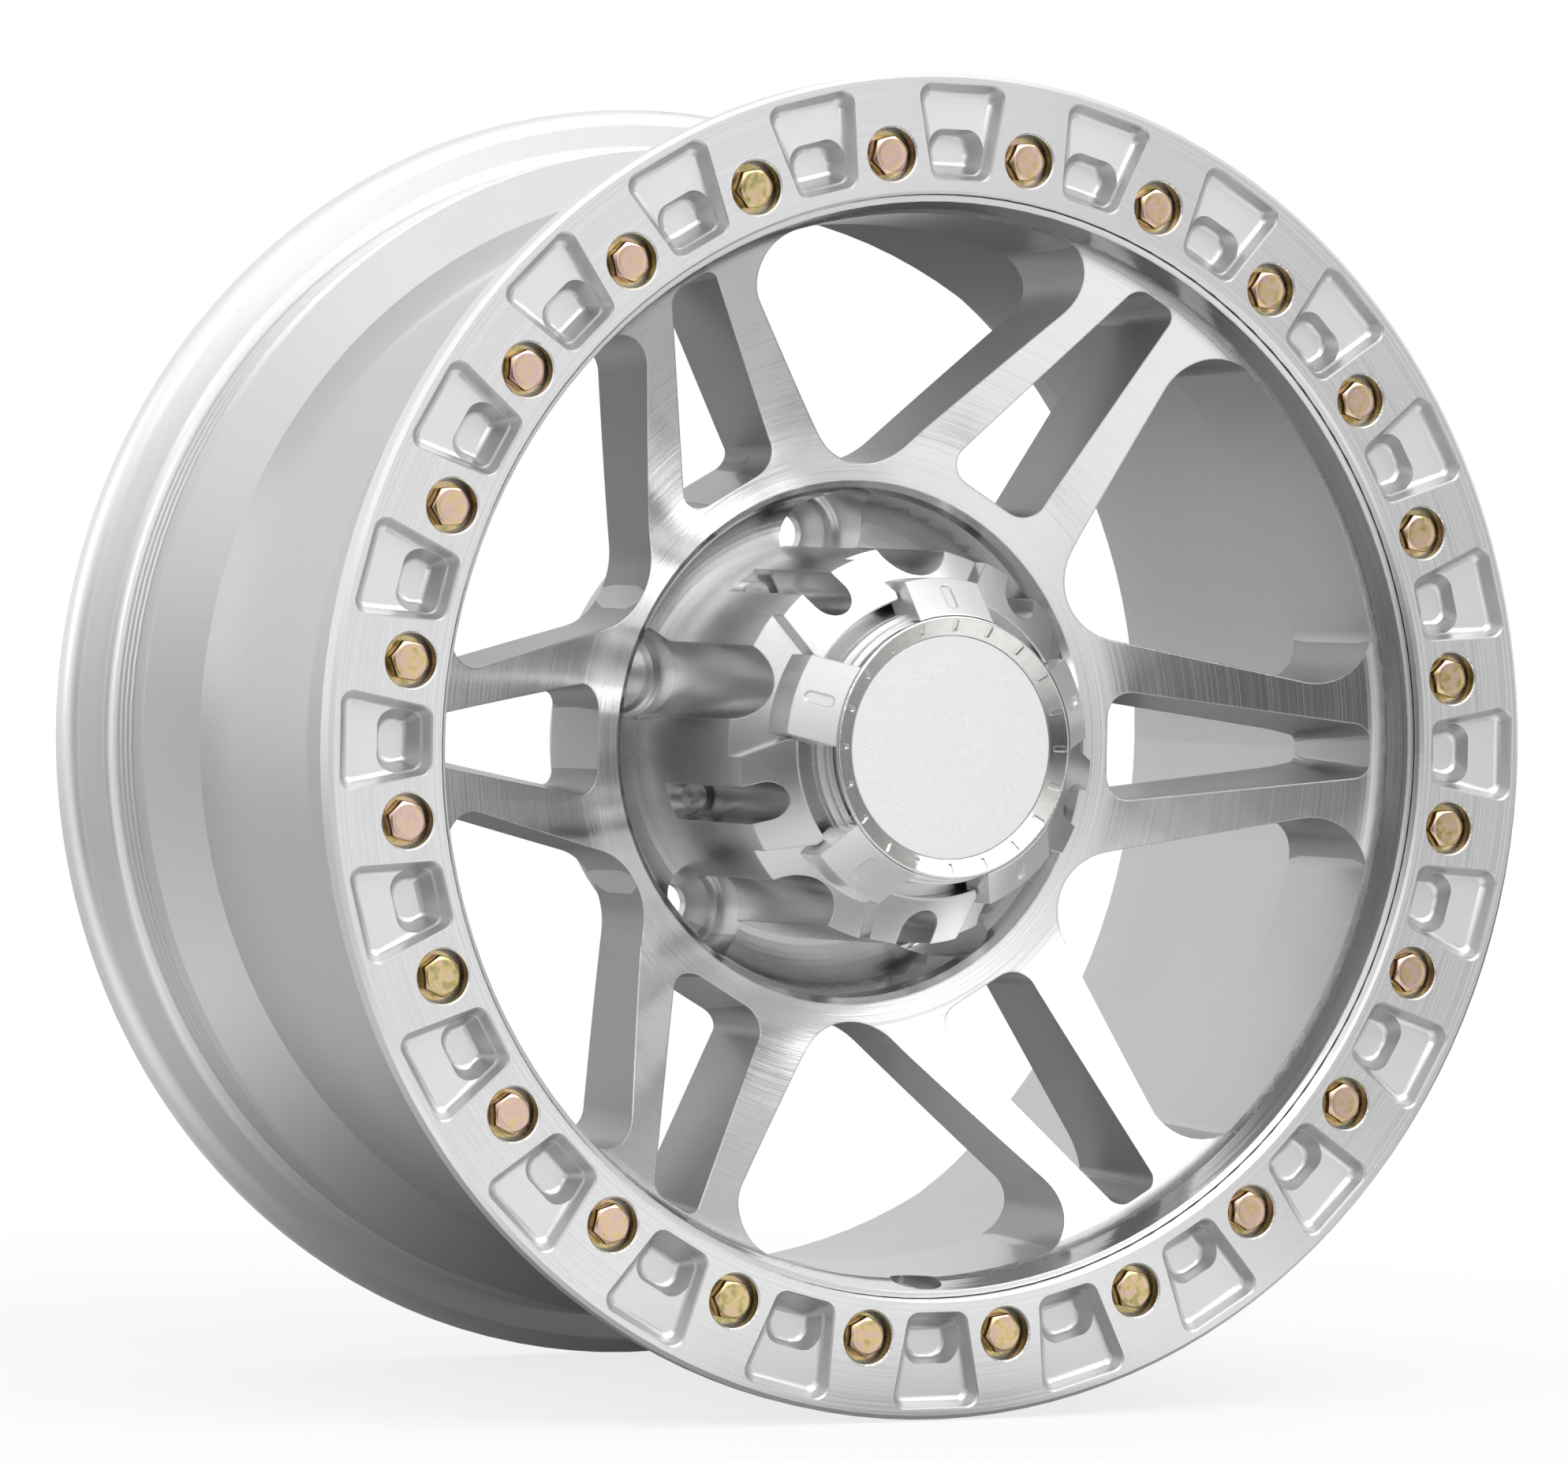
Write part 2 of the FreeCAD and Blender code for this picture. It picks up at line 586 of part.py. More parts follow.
def cap_body():
    """Tall fluted cap: big flutes clear the wheel nuts and small ones hold the cap screws."""
    body = revolved([
        (CAP_MOUTH_R, CAP_FRONT_DEPTH, 0),
        (CAP_FRONT_R, CAP_FRONT_DEPTH, 0),
        (CAP_CORNER_R, cap_depth(CAP_CORNER_R), 0),
        (CAP_BASE_R, FLOOR_DEPTH, 0),
        (CAP_BORE_R, FLOOR_DEPTH, 0),
        (CAP_BORE_R, CAP_SHOULDER_DEPTH, 0),
        (CAP_MOUTH_R, CAP_SHOULDER_DEPTH, 0),
    ])
    big = cylinder(BIG_FLUTE_R, 0, FLOOR_DEPTH + 1, LUG_CIRCLE_R)
    reach = CAP_BASE_R + SMALL_FLUTE_R
    round_end = cylinder(SMALL_FLUTE_R, 0, SCREW_SEAT, SCREW_CIRCLE_R)
    open_side = prism([(SCREW_CIRCLE_R, -SMALL_FLUTE_R, 0), (reach, -SMALL_FLUTE_R, 0),
                       (reach, SMALL_FLUTE_R, 0), (SCREW_CIRCLE_R, SMALL_FLUTE_R, 0)], 0, SCREW_SEAT)
    hole = cylinder(SCREW_R + SCREW_CLEAR, SCREW_SEAT - 1, FLOOR_DEPTH + 1, SCREW_CIRCLE_R)
    body = body.cut(around(cap_step_cutter(), LUG_ANGLES))
    body = body.cut(around(big, LUG_ANGLES))
    return body.cut(around(round_end.fuse([open_side, hole]), SCREW_ANGLES))


def cap_screws():
    """Socket-head screws that hold the cap to the hub."""
    head = cylinder(SCREW_HEAD_R, SCREW_SEAT - SCREW_HEAD_HEIGHT, SCREW_SEAT)
    shank = cylinder(SCREW_R, SCREW_SEAT, SCREW_SEAT + SCREW_LENGTH)
    top = SCREW_SEAT - SCREW_HEAD_HEIGHT
    socket = prism(hexagon(SCREW_SOCKET_ACROSS), top - 1, top + SCREW_SOCKET_DEPTH)
    screw = head.fuse(shank).cut(socket)
    return around(screw.translated(Vector(SCREW_CIRCLE_R, 0, 0)), SCREW_ANGLES)


def lid_tab():
    """One tab of the lid: a sloping arm with a pill-shaped recess, ending above the cap's step."""
    inner = TRIM_R + TRIM_CLEAR
    slope = TAB_DROP / (TAB_R - inner)
    floor = cap_depth(TAB_R) + CAP_STEP - TAB_CLEAR
    root_floor = cap_depth(inner) + CAP_STEP - TAB_CLEAR
    sector = revolved([(inner, TAB_FRONT_DEPTH, 0), (TAB_R, TAB_FRONT_DEPTH + TAB_DROP, 0),
                       (TAB_R, floor, 0), (inner, root_floor, 0)])
    arm = sector.common(prism([(0, -TAB_HALF, 0), (TAB_R + TAB_HALF, -TAB_HALF, 0),
                               (TAB_R + TAB_HALF, TAB_HALF, 0), (0, TAB_HALF, 0)],
                              TAB_FRONT_DEPTH - 1, floor + 1))
    middle = (inner + TAB_R) / 2
    lean = math.degrees(math.atan(slope))
    recess = pill(TAB_PILL_LENGTH, TAB_PILL_WIDTH, -PILL_DEPTH, PILL_DEPTH, middle, lean)
    return arm.cut(recess.translated(Vector(0, TAB_FRONT_DEPTH + TAB_DROP / 2, 0)))


def seal_front():
    """Depth at which the lid's seal starts, centred on the plug."""
    return CAP_SHOULDER_DEPTH + (LID_PLUG_LENGTH - SEAL_HEIGHT) / 2


def cap_lid():
    """Five-tabbed lid with a plug that enters the cap's bore and a groove for its seal."""
    plug_r = CAP_BORE_R - LID_PLUG_CLEAR
    plug_end = CAP_SHOULDER_DEPTH + LID_PLUG_LENGTH
    groove_r = CAP_BORE_R - SEAL_CLEAR - SEAL_DEPTH
    groove_start = seal_front() - SEAL_CLEAR
    groove_end = seal_front() + SEAL_HEIGHT + SEAL_CLEAR
    ledge = (LID_SEAT_DEPTH + CAP_FRONT_DEPTH) / 2
    hollow_r = groove_r - LID_BACK_WALL
    body = revolved([
        (0, LID_SEAT_DEPTH, 0),
        (LID_R - LID_GROOVE, LID_SEAT_DEPTH, 0),
        (LID_R - LID_GROOVE, ledge, 0),
        (LID_R, ledge, 0),
        (LID_R, ledge + LID_GROOVE_WIDTH, 0),
        (LID_R - LID_GROOVE, ledge + LID_GROOVE_WIDTH, 0),
        (LID_R - LID_GROOVE, ledge + 2 * LID_GROOVE_WIDTH, 0),
        (LID_R, ledge + 2 * LID_GROOVE_WIDTH, 0),
        (LID_R, CAP_SHOULDER_DEPTH, 0),
        (plug_r, CAP_SHOULDER_DEPTH, 0),
        (plug_r, groove_start, 0),
        (groove_r, groove_start, 0),
        (groove_r, groove_end, 0),
        (plug_r, groove_end, 0),
        (plug_r, plug_end, 0),
        (hollow_r, plug_end, 0),
        (hollow_r, LID_SEAT_DEPTH + LID_BACK_WALL, 0),
        (0, LID_SEAT_DEPTH + LID_BACK_WALL, 0),
    ])
    return body.fuse([turned(lid_tab(), a) for a in LUG_ANGLES]).removeSplitter()


def lid_seal():
    """Square-section rubber ring in the plug's groove."""
    outer = CAP_BORE_R - SEAL_CLEAR
    inner = outer - SEAL_DEPTH + SEAL_CLEAR
    front = seal_front()
    return revolved([(inner, front, 0), (outer, front, 0),
                     (outer, front + SEAL_HEIGHT, 0), (inner, front + SEAL_HEIGHT, 0)])


def trim_ring():
    """Dished trim ring on the lid, with a row of short radial notches."""
    inner_depth = TRIM_FRONT_DEPTH + TRIM_DISH
    ring = revolved([(TRIM_BORE_R, inner_depth, 0), (TRIM_R, TRIM_FRONT_DEPTH, TRIM_ROUND),
                     (TRIM_R, LID_SEAT_DEPTH, 0), (TRIM_BORE_R, LID_SEAT_DEPTH, 0)])
    middle = (TRIM_R + TRIM_BORE_R) / 2
    lean = -math.degrees(math.atan(TRIM_DISH / (TRIM_R - TRIM_BORE_R)))
    notch = pill(TRIM_NOTCH_LENGTH, TRIM_NOTCH_WIDTH, -PILL_DEPTH, PILL_DEPTH, middle, lean)
    notch = notch.translated(Vector(0, TRIM_FRONT_DEPTH + TRIM_DISH / 2, 0))
    return ring.cut(around(notch, [360.0 / TRIM_NOTCHES * k for k in range(TRIM_NOTCHES)]))


def centre_disc():
    """Plain, slightly crowned disc inside the trim ring."""
    r = TRIM_BORE_R - TRIM_CLEAR
    edge = TRIM_FRONT_DEPTH + TRIM_DISH + DISC_SET_BACK
    crown = (r ** 2 + DISC_CROWN ** 2) / (2 * DISC_CROWN)
    side = cylinder(r, edge - DISC_CROWN, LID_SEAT_DEPTH)
    ball = Part.makeSphere(crown, Vector(0, edge - DISC_CROWN + crown, 0))
    return side.common(ball)


def save(name, shape):
    """Move a piece so that the hub pad's centre is the origin, and write it."""
    shape.translated(Vector(0, -PAD_DEPTH, 0)).exportStep("parts/" + name + ".step")


os.makedirs("parts", exist_ok=True)
save("wheel_casting", wheel_casting())
save("beadlock_ring", beadlock_ring())
save("ring_bolts", ring_bolts())
save("ring_washers", ring_washers())
save("cap_body", cap_body())
save("cap_screws", cap_screws())
save("cap_lid", cap_lid())
save("lid_seal", lid_seal())
save("trim_ring", trim_ring())
save("centre_disc", centre_disc())
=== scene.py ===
# %% [markdown]
# # A cast off-road wheel in a white studio
#
# The wheel comes from its CAD files as ten named pieces, each already in place. This lesson
# dresses them: it sets up a camera and a studio, writes a finish for every metal on the wheel,
# sorts the faces of the two largest pieces by finish, and makes the bolts anew, because they
# deserve a softer shape than the CAD gives. Lengths are metres, the wheel's axis is Y, its face
# looks along -Y and +Z is up.

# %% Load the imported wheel
import math

import bpy
import numpy as np
from mathutils import Matrix, Vector


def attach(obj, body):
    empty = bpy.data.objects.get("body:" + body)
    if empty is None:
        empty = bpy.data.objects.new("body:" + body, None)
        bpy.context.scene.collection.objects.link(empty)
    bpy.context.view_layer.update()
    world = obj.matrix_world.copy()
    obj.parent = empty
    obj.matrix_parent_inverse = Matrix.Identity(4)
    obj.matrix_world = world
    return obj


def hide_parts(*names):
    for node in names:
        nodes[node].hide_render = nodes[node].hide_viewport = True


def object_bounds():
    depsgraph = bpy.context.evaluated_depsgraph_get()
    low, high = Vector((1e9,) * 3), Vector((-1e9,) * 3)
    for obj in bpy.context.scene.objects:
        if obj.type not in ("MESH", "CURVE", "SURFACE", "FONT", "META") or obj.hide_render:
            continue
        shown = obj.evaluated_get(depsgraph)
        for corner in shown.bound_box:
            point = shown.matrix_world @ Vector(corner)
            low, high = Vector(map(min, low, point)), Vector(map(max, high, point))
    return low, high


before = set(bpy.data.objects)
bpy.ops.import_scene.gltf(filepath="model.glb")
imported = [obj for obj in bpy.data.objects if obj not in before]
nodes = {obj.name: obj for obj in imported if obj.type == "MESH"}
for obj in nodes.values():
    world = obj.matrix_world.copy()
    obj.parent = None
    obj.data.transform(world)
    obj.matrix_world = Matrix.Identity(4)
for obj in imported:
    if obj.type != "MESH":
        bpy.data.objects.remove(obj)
cad_low, cad_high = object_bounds()
MM = 0.001
print("wheel", [round(v, 4) for v in cad_high - cad_low], "nodes", sorted(nodes))

# %% [markdown]
# ## The camera
#
# A long lens from the left flattens the wheel's perspective, which is why the ring looks almost
# like a true ellipse. The camera's place and its two axes below were solved from the ring's 24
# bolts. The third axis is their cross product, and a matrix takes the three as columns, so the
# camera's turn is exact and needs no Euler angles.

# %% Camera
CAMERA_PLACE = Vector((-1.2086, -2.3959, 0.0402))
CAMERA_RIGHT = Vector((0.892071, -0.451443, 0.020212))
CAMERA_UP = Vector((-0.011753, 0.021533, 0.999699))
LENS_MM = 168.12
SENSOR_MM = 36.0
SIGHT_LIMIT = 100.0

camera_data = bpy.data.cameras.new("studio_camera")
camera_data.lens = LENS_MM
camera_data.sensor_width = SENSOR_MM
camera_data.clip_end = SIGHT_LIMIT
camera = bpy.data.objects.new("studio_camera", camera_data)
axes = Matrix((CAMERA_RIGHT, CAMERA_UP, CAMERA_RIGHT.cross(CAMERA_UP))).transposed()
camera.matrix_world = Matrix.Translation(CAMERA_PLACE) @ axes.to_4x4()
bpy.context.scene.collection.objects.link(camera)
bpy.context.scene.camera = camera
print("camera", round(CAMERA_PLACE.length, 3), "m from the hub, lens", LENS_MM)

# %% [markdown]
# ## Arithmetic on sockets
#
# A finish is mostly small sums: a radius from two coordinates, a mask from the radius, a
# roughness from the mask. Written as nodes and links these fill pages, so one class stands for
# an output socket, and Python's operators add the Math nodes. Any other node comes from its
# `node` method, which sets the node's own settings first and its sockets after. A noise texture
# seldom leaves the middle of its range, so two methods stretch that middle to what is wanted.

# %% Socket wrapper
NOISE_LOW = 0.3
NOISE_HIGH = 0.7
PLAIN_DETAIL = 2.0
FINE_DETAIL = 3.0


class Wire:
    """An output socket in a node tree, on which arithmetic adds Math nodes."""

    def __init__(self, tree, socket=None):
        self.tree = tree
        self.socket = socket

    def node(self, kind, inputs=None, output=0, stops=None, **settings):
        """Add a node of any kind, give it its settings, then its values or links."""
        made = self.tree.nodes.new(kind)
        for name, value in settings.items():
            setattr(made, name, value)
        for index, (place, shade) in enumerate(stops or []):
            ramp = made.color_ramp.elements
            stop = ramp[index] if index < 2 else ramp.new(place)
            stop.position = place
            stop.color = colour(shade)
        for key, value in (inputs or {}).items():
            if isinstance(value, Wire):
                self.tree.links.new(value.socket, made.inputs[key])
            else:
                made.inputs[key].default_value = value
        return Wire(self.tree, made.outputs[output])

    def math(self, operation, *values):
        """One Math node on values or wires."""
        return self.node("ShaderNodeMath", dict(enumerate(values)), operation=operation)

    def above(self, limit):
        """1 where this value is greater than the limit, and 0 elsewhere."""
        return self.math("GREATER_THAN", self, limit)

    def below(self, limit):
        """1 where this value is less than the limit, and 0 elsewhere."""
        return self.math("LESS_THAN", self, limit)

    def at_least(self, limit):
        """The greater of this value and the limit."""
        return self.math("MAXIMUM", self, limit)

    def at_most(self, limit):
        """The smaller of this value and the limit."""
        return self.math("MINIMUM", self, limit)

    def vector(self, operation, *values, output="Vector"):
        """One Vector Math node on vectors or wires."""
        inputs = dict(enumerate(values))
        return self.node("ShaderNodeVectorMath", inputs, output=output, operation=operation)

    def scaled(self, factor):
        """This vector times a number or a wire."""
        return self.node("ShaderNodeVectorMath", {0: self, "Scale": factor}, operation="SCALE")

    def unit(self):
        """This vector at length 1."""
        return self.vector("NORMALIZE", self)

    def length(self):
        """Length of this vector."""
        return self.vector("LENGTH", self, output="Value")

    def dot(self, other):
        """Dot product of this vector and another."""
        return self.vector("DOT_PRODUCT", self, other, output="Value")

    def part(self, axis):
        """This vector's part along X, Y or Z."""
        return self.node("ShaderNodeSeparateXYZ", {0: self}, output=axis)

    def step(self, low, high, start=0.0, end=1.0):
        """Smooth rise from start to end as this value goes from low to high."""
        inputs = {"Value": self, "From Min": low, "From Max": high, "To Min": start, "To Max": end}
        return self.node("ShaderNodeMapRange", inputs, interpolation_type="SMOOTHSTEP")

    def mix(self, first, second):
        """Colour that goes from first to second as this value goes from 0 to 1."""
        inputs = {"Factor": self, 6: colour(first), 7: colour(second)}
        return self.node("ShaderNodeMix", inputs, output=2, data_type="RGBA")

    def noise(self, scale, detail=PLAIN_DETAIL):
        """Noise texture at this point, in features per metre."""
        inputs = {"Vector": self, "Scale": scale, "Detail": detail}
        return self.node("ShaderNodeTexNoise", inputs, output="Fac")

    def spread(self, start, end):
        """Smooth rise from start to end over the middle of this noise's range."""
        return self.step(NOISE_LOW, NOISE_HIGH, start, end)

    def shades(self, dark, light):
        """Colour from dark to light over the middle of this noise's range."""
        return self.spread(0.0, 1.0).mix(dark, light)

    def __add__(self, other):
        return self.math("ADD", self, other)

    def __sub__(self, other):
        return self.math("SUBTRACT", self, other)

    def __rsub__(self, other):
        return self.math("SUBTRACT", other, self)

    def __mul__(self, other):
        return self.math("MULTIPLY", self, other)

    def __truediv__(self, other):
        return self.math("DIVIDE", self, other)

    def __rtruediv__(self, other):
        return self.math("DIVIDE", other, self)

    def __pow__(self, other):
        return self.math("POWER", self, other)

    def __rpow__(self, other):
        return self.math("POWER", other, self)

    __radd__ = __add__
    __rmul__ = __mul__


def colour(value):
    """A wire as it is, one number as a grey, or three numbers as a colour, with alpha 1."""
    if isinstance(value, Wire):
        return value
    return (value, value, value, 1.0) if isinstance(value, float) else (*value, 1.0)


print("noise is stretched from", NOISE_LOW, "to", NOISE_HIGH)

# %% [markdown]
# ## The studio
#
# Bare metal is a mirror with a rough skin, so it shows the room more than it shows itself. The
# room here is white above and below, with a strip at eye level that is dark on the left, pale
# in front and grey on the right: that strip is what turns some spokes grey. Behind the wheel
# the room is pale and falls off downwards. Walls and cards could be built for this, but they
# would stand in the camera's way from other sides. So the world lights the wheel with those
# tones by direction, and stays plain white for the camera.

# %% Room
STRIP_LEFT = 0.10
STRIP_FAR_LEFT = 0.60
STRIP_MIDDLE = 0.88
STRIP_RIGHT_DROP = 0.60
STRIP_HALF = 0.05
STRIP_SINK = 0.09
STRIP_FADE = 0.60
STRIP_FADE_RIGHT = 1.35
BACK_TONE = 0.82
BACK_LOW_LEFT = 0.50
BACK_LOW_RIGHT = 0.08

# Parts of a unit direction to the right, backwards or up, between which a tone changes.
LEFT_TO_MIDDLE = (-0.40, 0.32)
FAR_LEFT_TO_LEFT = (-0.95, -0.70)
MIDDLE_TO_RIGHT = (0.38, 0.62)
FADE_WIDENS = (0.35, 0.85)
STRIP_CLIMBS = (-0.6, 1.0)
BACK_LEFT_TO_RIGHT = (-0.2, 0.4)
BACK_LOW_TO_HIGH = (-0.15, 0.05)
FRONT_TO_BACK = (-0.05, 0.45)


def room_tone(direction):
    """Brightness of the room in a direction: the strip in front, blended into the back wall.

    The strip leans, low on the left and high on the right, and fades to white above and below.
    The back wall is pale down to eye level and grey below it, darkest on the right."""
    right, back, up = (direction.part(axis) for axis in "XYZ")
    strip = (right.step(*LEFT_TO_MIDDLE, STRIP_LEFT, STRIP_MIDDLE)
             + right.step(*FAR_LEFT_TO_LEFT, STRIP_FAR_LEFT, 0.0)
             - right.step(*MIDDLE_TO_RIGHT, 0.0, STRIP_RIGHT_DROP))
    fade = right.step(*FADE_WIDENS, STRIP_FADE, STRIP_FADE_RIGHT)
    off_strip = up - right.step(*STRIP_CLIMBS, -STRIP_SINK, STRIP_SINK)
    front_tone = up.math("ABSOLUTE", off_strip).step(STRIP_HALF, fade, strip, 1.0)
    back_low = right.step(*BACK_LEFT_TO_RIGHT, BACK_LOW_LEFT, BACK_LOW_RIGHT)
    back_tone = up.step(*BACK_LOW_TO_HIGH, back_low, BACK_TONE)
    return front_tone + back.step(*FRONT_TO_BACK) * (back_tone - front_tone)


# %% World
world = bpy.data.worlds.new("white_studio")
world.use_nodes = True
bpy.context.scene.world = world
sky = Wire(world.node_tree)
room = room_tone(sky.node("ShaderNodeTexCoord", output="Generated"))
is_camera = sky.node("ShaderNodeLightPath", output="Is Camera Ray")
tone = room + is_camera * (1.0 - room)
backdrop = world.node_tree.nodes["Background"]
world.node_tree.links.new(tone.socket, backdrop.inputs["Color"])
bpy.context.scene.view_settings.view_transform = "Standard"
print("world", len(world.node_tree.nodes), "nodes")

# %% [markdown]
# ## Lamps
#
# One wide lamp overhead and in front whitens the lower spokes, as in the photograph, and a
# weaker one from the left fills the barrel. Point lamps would leave hard sparks on the metal.
# Wide area lamps act like the cloth of a studio's soft boxes.

# %% Lamps
LAMPS = {
    "overhead_lamp": {"place": (0.35, -1.3, 1.5), "size": (2.2, 1.4), "radiance": 1.8},
    "left_lamp": {"place": (-2.6, 0.5, 1.0), "size": (1.2, 1.6), "radiance": 0.9},
}


def area_lamp(name, place, size, radiance):
    """Rectangular lamp that faces the wheel's origin. Radiance is its brightness as metal sees
    it, and its power is radiance times pi times its area."""
    data = bpy.data.lights.new(name, "AREA")
    data.shape = "RECTANGLE"
    data.size, data.size_y = size
    data.energy = radiance * math.pi * size[0] * size[1]
    lamp = bpy.data.objects.new(name, data)
    lamp.location = place
    lamp.rotation_mode = "QUATERNION"
    lamp.rotation_quaternion = (-Vector(place)).to_track_quat("-Z", "Y")
    bpy.context.scene.collection.objects.link(lamp)
    print(name, round(data.energy, 1), "W")


for name, values in LAMPS.items():
    area_lamp(name, **values)

# %% [markdown]
# ## A finish
#
# Each surface gets one Principled shader. What is the same all over goes straight onto its
# sockets; what changes over the surface comes in as wires, which start at the object's own
# coordinates. A picture wrapped round the wheel would blur close up, and patterns worked out
# from the point never do.

# %% Finish helpers
def finish(name, **constants):
    """New material with one Principled shader; returns the material and the object point."""
    material = bpy.data.materials.new(name)
    material.use_nodes = True
    shader = material.node_tree.nodes["Principled BSDF"]
    for socket, value in constants.items():
        shader.inputs[socket.replace("_", " ")].default_value = value
    point = Wire(material.node_tree).node("ShaderNodeTexCoord", output="Object")
    return material, point


def feed(material, **wires):
    """Link wires to the Principled shader's sockets."""
    shader = material.node_tree.nodes["Principled BSDF"]
    for socket, wire in wires.items():
        material.node_tree.links.new(wire.socket, shader.inputs[socket.replace("_", " ")])
    print(material.name, "varies in", sorted(wires))


# %% [markdown]
# ## The floor
#
# The floor is so pale that only a soft shadow tells it from the backdrop, and it fades to pure
# white away from the wheel, so no horizon shows. Metal sees the floor in the room's tones, by
# the direction in which each spot of the floor lies from the wheel, so the floor and the world
# join without an edge, and dark right under the wheel, where its shadow lies.

# %% Floor shape
FLOOR_R = 12.0
FLOOR_CORNERS = 96

corners = np.linspace(0, 2 * math.pi, FLOOR_CORNERS, endpoint=False)
rim_points = np.stack([FLOOR_R * np.cos(corners), FLOOR_R * np.sin(corners),
                       np.full_like(corners, cad_low.z)], axis=1)
floor_mesh = bpy.data.meshes.new("floor")
floor_mesh.from_pydata(rim_points.tolist(), [], [list(range(FLOOR_CORNERS))])
floor = bpy.data.objects.new("floor", floor_mesh)
bpy.context.scene.collection.objects.link(floor)
print("floor", 2 * FLOOR_R, "m across at z", round(cad_low.z, 4))

# %% Floor paper
FLOOR_TONE = 0.86
FLOOR_ROUGHNESS = 0.9
SHADOW_SHARE = 0.22
SHADOW_NEAR = 0.25
SHADOW_FAR = 0.9
SHADE_TONE = 0.06
SHADE_NEAR = 0.21
SHADE_FAR = 0.45

floor_paper, place = finish("floor_paper", Base_Color=colour(FLOOR_TONE), Roughness=FLOOR_ROUGHNESS,
                            Specular_IOR_Level=0.0)
paper_tree = floor_paper.node_tree
away = place.length()
seen = place.node("ShaderNodeLightPath", output="Is Camera Ray")
mirrored = place.node("ShaderNodeLightPath", output="Is Glossy Ray")
shadow = seen * away.step(SHADOW_NEAR, SHADOW_FAR, SHADOW_SHARE, 0.0)
white_share = seen.at_least(mirrored) - shadow
shade = away.step(SHADE_NEAR, SHADE_FAR, SHADE_TONE, 1.0)
paper_tone = 1.0 - mirrored * (1.0 - room_tone(place.unit()) * shade)
white = place.node("ShaderNodeEmission", {"Color": colour(1.0), "Strength": paper_tone})
lit = Wire(paper_tree, paper_tree.nodes["Principled BSDF"].outputs["BSDF"])
mixed = place.node("ShaderNodeMixShader", {0: white_share, 1: lit, 2: white})
paper_tree.links.new(mixed.socket, paper_tree.nodes["Material Output"].inputs["Surface"])
floor_mesh.materials.append(floor_paper)
print("floor paper", len(paper_tree.nodes), "nodes")

# %% [markdown]
# ## Normals
#
# Most of what tells one metal from another is how its surface leans at a scale too small to
# model. These helpers read or work out a normal, and lean it: a rounding over sharp edges, a
# turned surface's own direction, a choice between two, and a fine grain.

# %% Normal helpers
BUMP_DISTANCE = 0.3 * MM
ROUND_SAMPLES = 3


def about_axis(point):
    """Radius from the wheel's axis, and the unit vector that points away from it."""
    across = point.vector("MULTIPLY", point, (1.0, 0.0, 1.0))
    return across.length(), across.unit()


def rounded_normal(point, radius):
    """Surface normal that turns smoothly over sharp edges within a radius."""
    return point.node("ShaderNodeBevel", {"Radius": radius}, samples=ROUND_SAMPLES)


def plain_normal(point):
    """Surface normal as the mesh has it."""
    return point.node("ShaderNodeNewGeometry", output="Normal")


def lathe_normal(outward, across, along):
    """Unit normal of a turned surface, from its parts across the axis and along it."""
    axis = outward.node("ShaderNodeCombineXYZ", {"Y": along})
    return outward.vector("ADD", outward.scaled(across), axis).unit()


def chosen(mask, first, second):
    """The first vector where the mask is 0 and the second where it is 1."""
    return mask.vector("ADD", first.scaled(1.0 - mask), second.scaled(mask))


def tilted(normal, direction, amount):
    """A normal tilted along a direction by a small amount."""
    return normal.vector("ADD", normal, direction.scaled(amount)).unit()


def bumped(height, strength, **inputs):
    """Normal of a bump whose height is a noise."""
    inputs = {"Strength": strength, "Distance": BUMP_DISTANCE, "Height": height, **inputs}
    return height.node("ShaderNodeBump", inputs, output="Normal")


def grained(point, normal, scale, strength):
    """A fine grain: its noise, and the normal that a bump of that noise gives."""
    grain = point.noise(scale)
    return grain, bumped(grain, strength, Normal=normal)


print("bumps are", round(BUMP_DISTANCE / MM, 2), "mm high")

# %% [markdown]
# ### The turned face
#
# A lathe leaves a groove at every turn, far too fine to see, but each groove tilts the metal a
# little towards or away from the axis. That is why a turned face shows light as a fan of rays.
# A bump is too coarse for grooves finer than a pixel, so the normal itself is tilted along the
# radius by a random value per groove, and the samples of a pixel average many grooves. Three
# random draws are added for each, so small tilts are common and large ones rare. The bowl round
# the hub is turned as well, but it is duller.

# %% Turned face
GROOVE_PITCH = 0.02 * MM
GROOVE_SPREAD = 0.22
DRAWS_MEAN = 1.5
EDGE_ROUND = 0.9 * MM
TOOL_RING_SCALE = 1500.0
TOOL_RING_RANGE = (0.25, 0.75)
BOWL_HAZE_SCALE = 60.0


def grooved(normal, radius, outward, pitch, spread):
    """A normal tilted along the radius by a random amount for each turn of the lathe's tool."""
    turn = radius.math("FLOOR", radius / pitch)
    draws = turn.node("ShaderNodeTexWhiteNoise", {"W": turn}, output="Color",
                      noise_dimensions="1D")
    total = draws.dot((1.0, 1.0, 1.0))
    return tilted(normal, outward, (total - DRAWS_MEAN) * spread)


turned_face, point = finish("turned_face", Metallic=1.0)
radius, outward = about_axis(point)
tool_inputs = {"W": radius, "Scale": TOOL_RING_SCALE, "Detail": FINE_DETAIL}
tool_rings = point.node("ShaderNodeTexNoise", tool_inputs, output="Fac", noise_dimensions="1D")
feed(turned_face,
     Base_Color=tool_rings.shades(0.86, (0.89, 0.89, 0.885)),
     Roughness=tool_rings.step(*TOOL_RING_RANGE, 0.12, 0.15),
     Normal=grooved(rounded_normal(point, EDGE_ROUND), radius, outward, GROOVE_PITCH, GROOVE_SPREAD))

